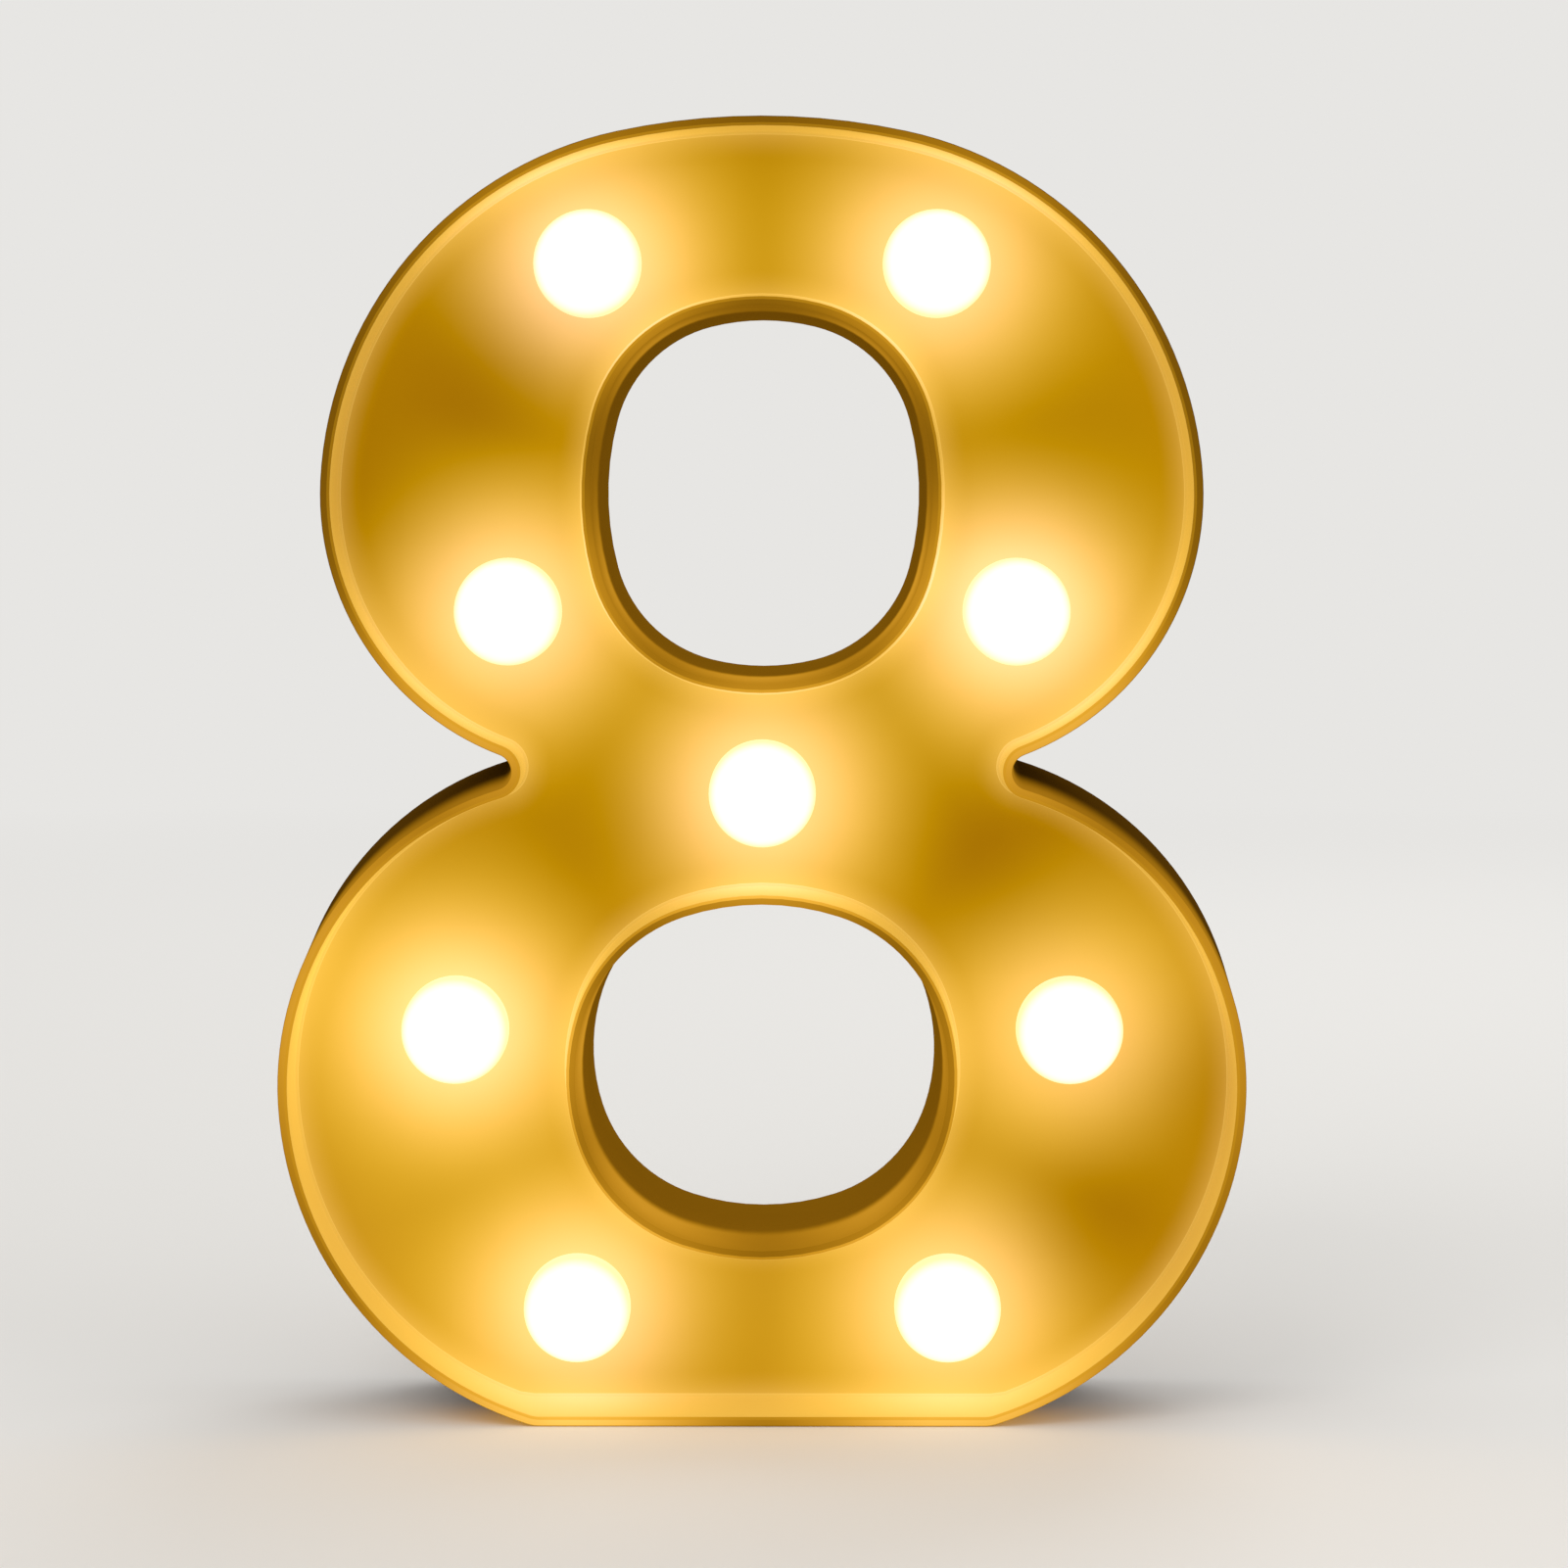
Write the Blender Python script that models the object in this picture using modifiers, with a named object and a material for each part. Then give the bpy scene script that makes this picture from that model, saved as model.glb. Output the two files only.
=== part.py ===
"""A light up marquee number, the digit 8, that stands on its flat foot.

The number faces -Y, +X is to the right of someone who looks at it, and +Z is up.
Two mouldings meet in a seam half way back: a front shell, whose deep rim stands round a sunk
face plate with nine frosted globes, and a back shell, which holds the batteries and a switch.
"""
import math

import bmesh
import bpy
from mathutils import Matrix, Vector

# Overall size
HEIGHT = 0.220
DEPTH = 0.045
SPREAD = 0.0024
COUNTER_SPREAD = 0.0012
FRONT_Y = -DEPTH / 2
BACK_Y = DEPTH / 2

# Outline of the digit, right half, from the foot to the top
FOOT_HALF_SHARE = 0.170
OUTLINE_ARC_SHARES = (
    (0.036, 18),
    (0.274, 69),
    (0.240, 76),
    (0.0138, -142),
    (0.211, 72),
    (0.285, 75),
)
TOP_TURN = 12
OUTLINE_STEP = 8
COUNTER_STEP = 12

# Counters: foot above the ground, then end arc, corner arc and side arc, as shares of the height
UPPER_FOOT_SHARE = 0.571
UPPER_ARC_SHARES = ((0.176, 14), (0.109, 61), (0.233, 30))
LOWER_FOOT_SHARE = 0.136
LOWER_ARC_SHARES = ((0.191, 18), (0.118, 54), (0.155, 36))

# Shell walls
RIM = 0.0014
EDGE = 0.0004
RECESS_LEAN = 0.0007
RECESS_FILLET = 0.0005
FACE = 0.0020
WALL = 0.0020
PANEL = 0.0020
BACK_EDGE = 0.0008
SEAM_BEHIND = 0.0066
SEAM_GAP = 0.0003
LIP = 0.0012
LIP_LENGTH = 0.0025
LIP_ROOT = 0.0030
GAP = 0.0003
OVERLAP = 0.0005

# Globes, as shares of the height from the middle and from the ground
GLOBE_SHARES = {
    "top_left": (-0.134, 0.891),
    "top_right": (0.134, 0.891),
    "upper_left": (-0.196, 0.624),
    "upper_right": (0.196, 0.624),
    "centre": (0, 0.4836),
    "lower_left": (-0.238, 0.300),
    "lower_right": (0.238, 0.300),
    "foot_left": (-0.144, 0.0827),
    "foot_right": (0.144, 0.0827),
}
GLOBE_R = 0.0091
GLOBE_STRAIGHT = 0.0035
GLOBE_WALL = 0.0012
NECK_STEP = 0.0012
NECK_WALL = 0.0010
NECK_BACK = 0.0044
GLOBE_STEPS = 20
NECK_R = GLOBE_R - NECK_STEP

# Collar that grips each globe's neck behind the face plate
COLLAR_WALL = 0.0021
COLLAR_BASE = 0.0016
PLUG_RISE = 0.0032
COLLAR_STEPS = 14
COLLAR_R = NECK_R + COLLAR_WALL

# Five millimetre lamp
LAMP_R = 0.0025
LAMP_FLANGE_R = 0.0030
LAMP_FLANGE = 0.0010
LAMP_LENGTH = 0.0076
LAMP_STEPS = 10

# Screws and their bosses, as shares of the height
SCREW_SHARES = {
    "top": (0.2455, 0.7818),
    "waist": (0.2818, 0.4091),
    "foot": (0.2727, 0.1545),
}
BOSS_R = 0.0035
WELL_R = 0.0050
WELL_SHELF = 0.0020
BOSS_LENGTH = 0.0118
SCREW_HEAD_R = 0.0028
SCREW_HEAD = 0.0019
SCREW_SHANK_R = 0.0013
SCREW_LENGTH = 0.0105
PILOT_DEPTH = 0.0100
SCREW_STEPS = 12
HOLE_STEPS = 16

# Two AA cells
CELL_R = 0.00725
CELL_LENGTH = 0.0505
CELL_NUB_R = 0.00275
CELL_NUB = 0.0010
CELL_EDGE = 0.0006
CELL_SHIFT = 0.0014
CELL_PLAY = 0.0004
CELL_END_ROOM = 0.00235
CELL_STEPS = 20

# Battery box in the waist, opened from behind
BOX_Z_SHARE = 0.4868
BOX_WALL = 0.0015
BOX_FLOOR = 0.0015
DOOR = 0.0020
DOOR_MARGIN = 0.0022
DOOR_FRAME = 0.0012
DOOR_FRAME_DEPTH = 0.0055
HINGE_R = 0.00145
HINGE_PIN_R = 0.0008
HINGE_PIN = 0.0012
LATCH_HALF = 0.0060
LATCH_LENGTH = 0.0100
LATCH_SLIT = 0.0008
SCOOP_R = 0.0045
SCOOP_REACH = 0.0008
SCOOP_DEPTH = 0.0012
BOX_Z = BOX_Z_SHARE * HEIGHT
BOX_HALF_X = CELL_LENGTH / 2 + CELL_SHIFT + CELL_END_ROOM
CELL_Y = BACK_Y - DOOR - CELL_PLAY - CELL_R
BOX_FLOOR_Y = CELL_Y - CELL_R - GAP
BOX_OUT_Y = BOX_FLOOR_Y - BOX_FLOOR
CELL_Z_OFF = CELL_R + GAP / 2
BOX_HALF_Z = CELL_Z_OFF + CELL_R + GAP
DOOR_HALF_X = BOX_HALF_X + DOOR_MARGIN
DOOR_HALF_Z = BOX_HALF_Z + DOOR_MARGIN
HINGE_Y = BACK_Y - HINGE_R
HINGE_Z = BOX_Z - DOOR_HALF_Z + HINGE_R

# Contacts at the ends of the cells
PLATE = 0.0005
PLATE_HALF = 0.0055
TAB_HALF = 0.0012
TAB_PROUD = 0.0012
BUTTON_R = 0.0030
SPRING_WIRE_R = 0.00035
SPRING_BIG_R = 0.0040
SPRING_SMALL_R = 0.0026
SPRING_TURNS = 3
SPRING_POINTS = 10
PLATE_X = BOX_HALF_X - GAP - PLATE
TAB_END_Y = BOX_OUT_Y - TAB_PROUD

# Slide switch in a pocket of the back
SWITCH_Z_SHARE = 0.0682
POCKET_HALF_X = 0.0110
POCKET_HALF_Z = 0.0055
POCKET_DEPTH = 0.0032
POCKET_WALL = 0.0018
SLOT_HALF_X = 0.0039
SLOT_HALF_Z = 0.0023
SWITCH_HALF_X = 0.0065
SWITCH_HALF_Z = 0.0033
SWITCH_DEPTH = 0.0045
SWITCH_CHANNEL = 0.0028
KNOB_HALF = 0.0020
KNOB_PROUD = 0.0024
KNOB_TRAVEL = 0.0025
KNOB_GROOVE = 0.0004
TERMINAL = 0.0015
TERMINAL_HALF = 0.0003
TERMINAL_PITCH = 0.0025
CLIP = 0.0015
CLIP_LENGTH = 0.0038
SWITCH_Z = SWITCH_Z_SHARE * HEIGHT
POCKET_Y = BACK_Y - POCKET_DEPTH
POCKET_BACK_Y = POCKET_Y - POCKET_WALL
SWITCH_Y = POCKET_BACK_Y - GAP

# Hanging slot near the top of the back
HANG_Z_SHARE = 0.918
HANG_HEAD_R = 0.0043
HANG_NECK_R = 0.0021
HANG_RISE = 0.0085
HANG_CUP_HALF_X = 0.0065
HANG_CUP_BELOW = 0.0065
HANG_CUP_ABOVE = 0.0130
HANG_CUP_DEPTH = 0.0060
HANG_CUP_WALL = 0.0015
HANG_Z = HANG_Z_SHARE * HEIGHT

# Wires, in the room between the lamps and the battery box
WIRE_ROOM = 0.0043
TWIN_R = 0.0008
LEAD_R = 0.00055
TWIN_BEHIND = 0.0021
WIRE_REACH = 0.0020
WIRE_BEND = 0.0012
LEAD_LOW_SHARES = ((0.09, 0.095), (0.173, 0.15), (0.200, 0.25), (0.173, 0.364))
LEAD_WAIST_SHARES = ((0.105, 0.392), (0.050, 0.424))
LEAD_BEHIND = 0.0055
CROSS_BEHIND = 0.0039
RESISTOR_R = 0.0012
RESISTOR_HALF = 0.0032
RESISTOR_REACH = 0.0087
RESISTOR_STEPS = 12

# Depths: the works take their room behind the face plate, and the recess has the rest
LAMP_BEHIND = NECK_BACK + GAP + COLLAR_BASE + GAP + LAMP_FLANGE
LAMP_BACK_Y = BOX_OUT_Y - WIRE_ROOM
FACE_Y = LAMP_BACK_Y - LAMP_BEHIND
FACE_BACK_Y = FACE_Y + FACE
SEAM_Y = FACE_BACK_Y + SEAM_BEHIND
WELL_Y = FACE_BACK_Y + BOSS_LENGTH + GAP
PANEL_Y = BACK_Y - PANEL
TWIN_Y = LAMP_BACK_Y + TWIN_BEHIND
LEAD_Y = LAMP_BACK_Y + LEAD_BEHIND
CROSS_Y = LAMP_BACK_Y + CROSS_BEHIND

# Colours: red, green, blue, then roughness and metallic
COLOURS = {
    "lit_plastic": (0.80, 0.55, 0.17, 0.38, 0.0),
    "back_plastic": (0.70, 0.46, 0.12, 0.42, 0.0),
    "frosted_globe": (1.0, 0.96, 0.80, 0.30, 0.0),
    "collar_plastic": (0.82, 0.80, 0.74, 0.50, 0.0),
    "lamp_lens": (1.0, 0.90, 0.55, 0.15, 0.0),
    "screw_steel": (0.60, 0.61, 0.63, 0.35, 1.0),
    "cell_sleeve": (0.10, 0.11, 0.12, 0.35, 0.0),
    "contact_nickel": (0.72, 0.71, 0.68, 0.25, 1.0),
    "switch_body": (0.55, 0.56, 0.58, 0.35, 1.0),
    "knob_plastic": (0.03, 0.03, 0.03, 0.45, 0.0),
    "twin_wire": (0.85, 0.84, 0.80, 0.50, 0.0),
    "red_wire": (0.50, 0.02, 0.02, 0.45, 0.0),
    "black_wire": (0.02, 0.02, 0.02, 0.45, 0.0),
    "resistor_lacquer": (0.62, 0.48, 0.30, 0.50, 0.0),
}

for old in list(bpy.data.objects):
    bpy.data.objects.remove(old, do_unlink=True)

parts = bpy.data.collections.new("marquee_number_8")
cutters = bpy.data.collections.new("marquee_number_8_cutters")
bpy.context.scene.collection.children.link(parts)
bpy.context.scene.collection.children.link(cutters)


def make_material(name):
    red, green, blue, roughness, metallic = COLOURS[name]
    material = bpy.data.materials.new(name)
    material.use_nodes = True
    shader = material.node_tree.nodes["Principled BSDF"]
    shader.inputs["Base Color"].default_value = (red, green, blue, 1)
    shader.inputs["Roughness"].default_value = roughness
    shader.inputs["Metallic"].default_value = metallic
    material.diffuse_color = (red, green, blue, 1)
    return material


materials = {name: make_material(name) for name in COLOURS}


def add_part(name, mesh, material, location=(0, 0, 0), rotation=(0, 0, 0)):
    part = bpy.data.objects.new(name, mesh)
    mesh.materials.append(materials[material])
    part.location = location
    part.rotation_euler = rotation
    parts.objects.link(part)
    return part


def add_cutter(name, mesh):
    cutter = bpy.data.objects.new(name, mesh)
    cutter.display_type = "WIRE"
    cutter.hide_render = True
    cutters.objects.link(cutter)
    return cutter


def mesh_from(name, bm, smooth=False):
    """Closes a bmesh into a mesh with its faces turned outward."""
    bmesh.ops.recalc_face_normals(bm, faces=bm.faces)
    mesh = bpy.data.meshes.new(name)
    bm.to_mesh(mesh)
    bm.free()
    for face in mesh.polygons:
        face.use_smooth = smooth
    return mesh


def combine(target, tool, operation):
    """Joins the tool on to the target or takes it away."""
    step = target.modifiers.new(tool.name, "BOOLEAN")
    step.solver = "EXACT"
    step.operation = operation
    step.object = tool


def add_block(bm, low, high):
    """One box between two opposite corners."""
    low = Vector(low)
    high = Vector(high)
    size = high - low
    place = Matrix.Translation((low + high) / 2) @ Matrix.Diagonal((size.x, size.y, size.z, 1))
    bmesh.ops.create_cube(bm, size=1, matrix=place)


def add_rod(bm, x, z, radius, near_y, far_y, steps, far_radius=None):
    """One cylinder or cone along Y."""
    if far_radius is None:
        far_radius = radius
    place = Matrix.Translation((x, (near_y + far_y) / 2, z)) @ Matrix.Rotation(math.radians(-90), 4, "X")
    bmesh.ops.create_cone(
        bm, cap_ends=True, segments=steps, radius1=radius, radius2=far_radius,
        depth=far_y - near_y, matrix=place,
    )


def add_cross_rod(bm, y, z, radius, near_x, far_x, steps, far_radius=None):
    """One cylinder or cone along X."""
    if far_radius is None:
        far_radius = radius
    place = Matrix.Translation(((near_x + far_x) / 2, y, z)) @ Matrix.Rotation(math.radians(90), 4, "Y")
    bmesh.ops.create_cone(
        bm, cap_ends=True, segments=steps, radius1=radius, radius2=far_radius,
        depth=far_x - near_x, matrix=place,
    )


def turned(name, profile, steps, material, location, rotation, closed=False):
    """Turns a profile about its own Z axis, with the outer side running from top to bottom."""
    mesh = bpy.data.meshes.new(name)
    edges = [(i, i + 1) for i in range(len(profile) - 1)]
    if closed:
        edges.append((len(profile) - 1, 0))
    mesh.from_pydata([(radius, 0, height) for radius, height in profile], edges, [])
    part = add_part(name, mesh, material, location, rotation)
    screw = part.modifiers.new("turn", "SCREW")
    screw.axis = "Z"
    screw.angle = math.tau
    screw.steps = steps
    screw.render_steps = steps
    screw.use_merge_vertices = True
    screw.merge_threshold = GAP / 30
    screw.use_smooth_shade = True
    return part


# The digit's outline and its two counters are chains of tangent arcs
def arc_chain(start, arcs):
    """Centre, radius, heading and turn of each arc, and the point where the chain ends."""
    x, z = start
    heading = 0
    chain = []
    for radius, degrees in arcs:
        turn = math.radians(degrees)
        side = math.copysign(1, turn)
        centre_x = x - side * radius * math.sin(heading)
        centre_z = z + side * radius * math.cos(heading)
        chain.append((centre_x, centre_z, radius, heading, turn))
        heading += turn
        x = centre_x + side * radius * math.sin(heading)
        z = centre_z - side * radius * math.cos(heading)
    return chain, x, z


def chain_points(chain, offset, step):
    """Points along the chain moved outward by the offset, without the first one."""
    points = []
    for centre_x, centre_z, radius, heading, turn in chain:
        side = math.copysign(1, turn)
        reach = side * (radius + side * offset)
        count = max(2, round(abs(math.degrees(turn)) / step / (1 if turn > 0 else 2)))
        for i in range(1, count + 1):
            angle = heading + turn * i / count
            points.append((centre_x + reach * math.sin(angle), centre_z - reach * math.cos(angle)))
    return points


def outline_chain():
    """The outer chain, ended by the arc that meets the axis and scaled to the height."""
    chain, x, z = arc_chain((FOOT_HALF_SHARE, 0), OUTLINE_ARC_SHARES)
    crown = x / math.sin(math.radians(TOP_TURN))
    arcs = OUTLINE_ARC_SHARES + ((crown, TOP_TURN),)
    chain, x, z = arc_chain((FOOT_HALF_SHARE, 0), arcs)
    scale = HEIGHT / z
    arcs = [(radius * scale, turn) for radius, turn in arcs]
    half = FOOT_HALF_SHARE * scale
    return arc_chain((half, 0), arcs)[0], half


def counter_chain(foot_share, arc_shares):
    """A counter from its foot round to its top, the same above and below its middle."""
    end, corner, side = [(share * HEIGHT, turn) for share, turn in arc_shares]
    return arc_chain((0, foot_share * HEIGHT), (end, corner, side, corner, end))[0]


OUTER, FOOT_HALF = outline_chain()
COUNTERS = (
    counter_chain(UPPER_FOOT_SHARE, UPPER_ARC_SHARES),
    counter_chain(LOWER_FOOT_SHARE, LOWER_ARC_SHARES),
)


def rings_at(y, inset):
    """The outline and the counters at a depth, moved into the material by the inset."""
    depth_share = (y - FRONT_Y) / DEPTH
    spread = SPREAD * depth_share
    right = [(FOOT_HALF, inset - spread)] + chain_points(OUTER, spread - inset, OUTLINE_STEP)
    right = [(x, max(z, inset)) for x, z in right]
    rings = [right + [(-x, z) for x, z in reversed(right[:-1])]]
    growth = inset - COUNTER_SPREAD * depth_share
    for chain in COUNTERS:
        foot = (0, chain[0][1] - chain[0][2] - growth)
        half = [foot] + chain_points(chain, growth, COUNTER_STEP)
        rings.append(half + [(-x, z) for x, z in reversed(half[1:-1])])
    return [[(x, y, z) for x, z in ring] for ring in rings]


def shell(name, levels, material):
    """A moulding whose skin runs through the levels, each a depth and an inset."""
    bm = bmesh.new()
    rows = [[[bm.verts.new(p) for p in ring] for ring in rings_at(*level)] for level in levels]
    for near_row, far_row in zip(rows, rows[1:]):
        for near, far in zip(near_row, far_row):
            for i in range(len(near)):
                bm.faces.new((near[i - 1], near[i], far[i], far[i - 1]))
    for row in (rows[0], rows[-1]):
        edges = [bm.edges.get((ring[i - 1], ring[i])) for ring in row for i in range(len(ring))]
        bmesh.ops.triangle_fill(bm, use_beauty=True, use_dissolve=False, edges=edges)
    return add_part(name, mesh_from(name, bm), material)


def at(share):
    """A place given as shares of the height."""
    return share[0] * HEIGHT, share[1] * HEIGHT


screw_places = {}
for level, share in SCREW_SHARES.items():
    x, z = at(share)
    screw_places[level + "_left"] = (-x, z)
    screw_places[level + "_right"] = (x, z)

# Front shell: from the face plate up the recess wall, over the rim, down outside and up inside
front = shell("front_shell", (
    (FACE_Y, RIM + RECESS_LEAN + RECESS_FILLET),
    (FACE_Y - RECESS_FILLET, RIM + RECESS_LEAN),
    (FRONT_Y + EDGE, RIM),
    (FRONT_Y, RIM - EDGE),
    (FRONT_Y, EDGE),
    (FRONT_Y + EDGE, 0),
    (SEAM_Y, 0),
    (SEAM_Y, WALL),
    (FACE_BACK_Y, WALL + GAP),
), "lit_plastic")

bosses = bmesh.new()
pilots = bmesh.new()
boss_end = FACE_BACK_Y + BOSS_LENGTH
for x, z in screw_places.values():
    add_rod(bosses, x, z, BOSS_R, FACE_BACK_Y - OVERLAP, boss_end, HOLE_STEPS)
    add_rod(pilots, x, z, SCREW_SHANK_R + GAP, boss_end - PILOT_DEPTH, boss_end + OVERLAP, SCREW_STEPS)
combine(front, add_cutter("front_bosses", mesh_from("front_bosses", bosses)), "UNION")
combine(front, add_cutter("front_pilots", mesh_from("front_pilots", pilots)), "DIFFERENCE")

holes = bmesh.new()
for share in GLOBE_SHARES.values():
    x, z = at(share)
    add_rod(holes, x, z, NECK_R + GAP, FACE_Y - OVERLAP, FACE_BACK_Y + OVERLAP, GLOBE_STEPS)
combine(front, add_cutter("globe_holes", mesh_from("globe_holes", holes)), "DIFFERENCE")

# Back shell: from the inside of the panel to the lip, over it, down outside and across the back
back = shell("back_shell", (
    (PANEL_Y, WALL + GAP),
    (SEAM_Y + LIP_ROOT, WALL),
    (SEAM_Y + LIP_ROOT - LIP, WALL + GAP + LIP),
    (SEAM_Y - LIP_LENGTH, WALL + GAP + LIP),
    (SEAM_Y - LIP_LENGTH, WALL + GAP),
    (SEAM_Y + SEAM_GAP, WALL + GAP),
    (SEAM_Y + SEAM_GAP, 0),
    (BACK_Y - BACK_EDGE, 0),
    (BACK_Y, BACK_EDGE),
), "back_plastic")

wells = bmesh.new()
well_bores = bmesh.new()
well_shanks = bmesh.new()
head_seat = WELL_Y + WELL_SHELF
for x, z in screw_places.values():
    add_rod(wells, x, z, WELL_R, WELL_Y, PANEL_Y + OVERLAP, HOLE_STEPS)
    add_rod(well_bores, x, z, SCREW_HEAD_R + GAP, head_seat, BACK_Y + OVERLAP, HOLE_STEPS)
    add_rod(well_shanks, x, z, SCREW_SHANK_R + GAP, WELL_Y - OVERLAP, head_seat + OVERLAP, SCREW_STEPS)
combine(back, add_cutter("back_wells", mesh_from("back_wells", wells)), "UNION")

# Battery box, door frame, switch pocket and hanging cup stand on the inside of the back panel
box_out_x = BOX_HALF_X + BOX_WALL
box_out_z = BOX_HALF_Z + BOX_WALL
box_block = bmesh.new()
add_block(
    box_block,
    (-box_out_x, BOX_OUT_Y, BOX_Z - box_out_z),
    (box_out_x, PANEL_Y + OVERLAP, BOX_Z + box_out_z),
)
combine(back, add_cutter("box_block", mesh_from("box_block", box_block)), "UNION")

frame_x = DOOR_HALF_X + GAP + DOOR_FRAME
frame_z = DOOR_HALF_Z + GAP + DOOR_FRAME
frame_block = bmesh.new()
add_block(
    frame_block,
    (-frame_x, BACK_Y - DOOR_FRAME_DEPTH, BOX_Z - frame_z),
    (frame_x, PANEL_Y + OVERLAP, BOX_Z + frame_z),
)
combine(back, add_cutter("door_frame", mesh_from("door_frame", frame_block)), "UNION")

pads = bmesh.new()
add_block(
    pads,
    (-POCKET_HALF_X - POCKET_WALL, POCKET_BACK_Y, SWITCH_Z - POCKET_HALF_Z - POCKET_WALL),
    (POCKET_HALF_X + POCKET_WALL, PANEL_Y + OVERLAP, SWITCH_Z + POCKET_HALF_Z + POCKET_WALL),
)
add_block(
    pads,
    (-HANG_CUP_HALF_X - HANG_CUP_WALL, BACK_Y - HANG_CUP_DEPTH - HANG_CUP_WALL,
     HANG_Z - HANG_CUP_BELOW - HANG_CUP_WALL),
    (HANG_CUP_HALF_X + HANG_CUP_WALL, PANEL_Y + OVERLAP, HANG_Z + HANG_CUP_ABOVE + HANG_CUP_WALL),
)
combine(back, add_cutter("pads", mesh_from("pads", pads)), "UNION")

clips = bmesh.new()
clip_x = SWITCH_HALF_X + GAP
for side in (-1, 1):
    near, far = sorted((side * clip_x, side * (clip_x + CLIP)))
    add_block(
        clips,
        (near, POCKET_BACK_Y - CLIP_LENGTH, SWITCH_Z - SWITCH_HALF_Z),
        (far, POCKET_BACK_Y + OVERLAP, SWITCH_Z + SWITCH_HALF_Z),
    )
combine(back, add_cutter("switch_clips", mesh_from("switch_clips", clips)), "UNION")

combine(back, add_cutter("well_bores", mesh_from("well_bores", well_bores)), "DIFFERENCE")
combine(back, add_cutter("well_shanks", mesh_from("well_shanks", well_shanks)), "DIFFERENCE")

box_room = bmesh.new()
add_block(
    box_room,
    (-BOX_HALF_X, BOX_FLOOR_Y, BOX_Z - BOX_HALF_Z),
    (BOX_HALF_X, BACK_Y + OVERLAP, BOX_Z + BOX_HALF_Z),
)
combine(back, add_cutter("box_room", mesh_from("box_room", box_room)), "DIFFERENCE")

door_room = bmesh.new()
add_block(
    door_room,
    (-DOOR_HALF_X - GAP, BACK_Y - DOOR - GAP, HINGE_Z),
    (DOOR_HALF_X + GAP, BACK_Y + OVERLAP, BOX_Z + DOOR_HALF_Z + GAP),
)
combine(back, add_cutter("door_room", mesh_from("door_room", door_room)), "DIFFERENCE")

hinge_room = bmesh.new()
hinge_gap = HINGE_R + GAP
add_cross_rod(hinge_room, HINGE_Y, HINGE_Z, hinge_gap, -DOOR_HALF_X - GAP, DOOR_HALF_X + GAP, HOLE_STEPS)
combine(back, add_cutter("hinge_room", mesh_from("hinge_room", hinge_room)), "DIFFERENCE")

hinge_mouth = bmesh.new()
add_block(
    hinge_mouth,
    (-DOOR_HALF_X - GAP, HINGE_Y, HINGE_Z - hinge_gap),
    (DOOR_HALF_X + GAP, BACK_Y + OVERLAP, HINGE_Z + hinge_gap),
)
combine(back, add_cutter("hinge_mouth", mesh_from("hinge_mouth", hinge_mouth)), "DIFFERENCE")

hinge_sockets = bmesh.new()
socket_x = DOOR_HALF_X + HINGE_PIN + GAP
add_cross_rod(hinge_sockets, HINGE_Y, HINGE_Z, HINGE_PIN_R + GAP, -socket_x, socket_x, SCREW_STEPS)
combine(back, add_cutter("hinge_sockets", mesh_from("hinge_sockets", hinge_sockets)), "DIFFERENCE")

scoop = bmesh.new()
scoop_z = BOX_Z + DOOR_HALF_Z + SCOOP_REACH - SCOOP_R
add_rod(scoop, 0, scoop_z, SCOOP_R, BACK_Y - SCOOP_DEPTH, BACK_Y + OVERLAP, GLOBE_STEPS)
combine(back, add_cutter("finger_scoop", mesh_from("finger_scoop", scoop)), "DIFFERENCE")

tab_slots = bmesh.new()
for side_x, side_z in ((1, 1), (1, -1)):
    near, far = sorted((side_x * (PLATE_X - GAP), side_x * BOX_HALF_X))
    slot_z = BOX_Z + side_z * CELL_Z_OFF
    add_block(
        tab_slots,
        (near, BOX_OUT_Y - OVERLAP, slot_z - TAB_HALF - GAP),
        (far, BOX_FLOOR_Y + OVERLAP, slot_z + TAB_HALF + GAP),
    )
combine(back, add_cutter("tab_slots", mesh_from("tab_slots", tab_slots)), "DIFFERENCE")

pockets = bmesh.new()
add_block(
    pockets,
    (-POCKET_HALF_X, POCKET_Y, SWITCH_Z - POCKET_HALF_Z),
    (POCKET_HALF_X, BACK_Y + OVERLAP, SWITCH_Z + POCKET_HALF_Z),
)
add_block(
    pockets,
    (-HANG_CUP_HALF_X, BACK_Y - HANG_CUP_DEPTH, HANG_Z - HANG_CUP_BELOW),
    (HANG_CUP_HALF_X, PANEL_Y, HANG_Z + HANG_CUP_ABOVE),
)
combine(back, add_cutter("pockets", mesh_from("pockets", pockets)), "DIFFERENCE")

slots = bmesh.new()
add_block(
    slots,
    (-SLOT_HALF_X, POCKET_BACK_Y - OVERLAP, SWITCH_Z - SLOT_HALF_Z),
    (SLOT_HALF_X, POCKET_Y + OVERLAP, SWITCH_Z + SLOT_HALF_Z),
)
add_rod(slots, 0, HANG_Z, HANG_HEAD_R, PANEL_Y - OVERLAP, BACK_Y + OVERLAP, GLOBE_STEPS)
combine(back, add_cutter("slots", mesh_from("slots", slots)), "DIFFERENCE")

hang_neck = bmesh.new()
add_block(
    hang_neck,
    (-HANG_NECK_R, PANEL_Y - OVERLAP, HANG_Z),
    (HANG_NECK_R, BACK_Y + OVERLAP, HANG_Z + HANG_RISE),
)
combine(back, add_cutter("hang_neck", mesh_from("hang_neck", hang_neck)), "DIFFERENCE")

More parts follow.
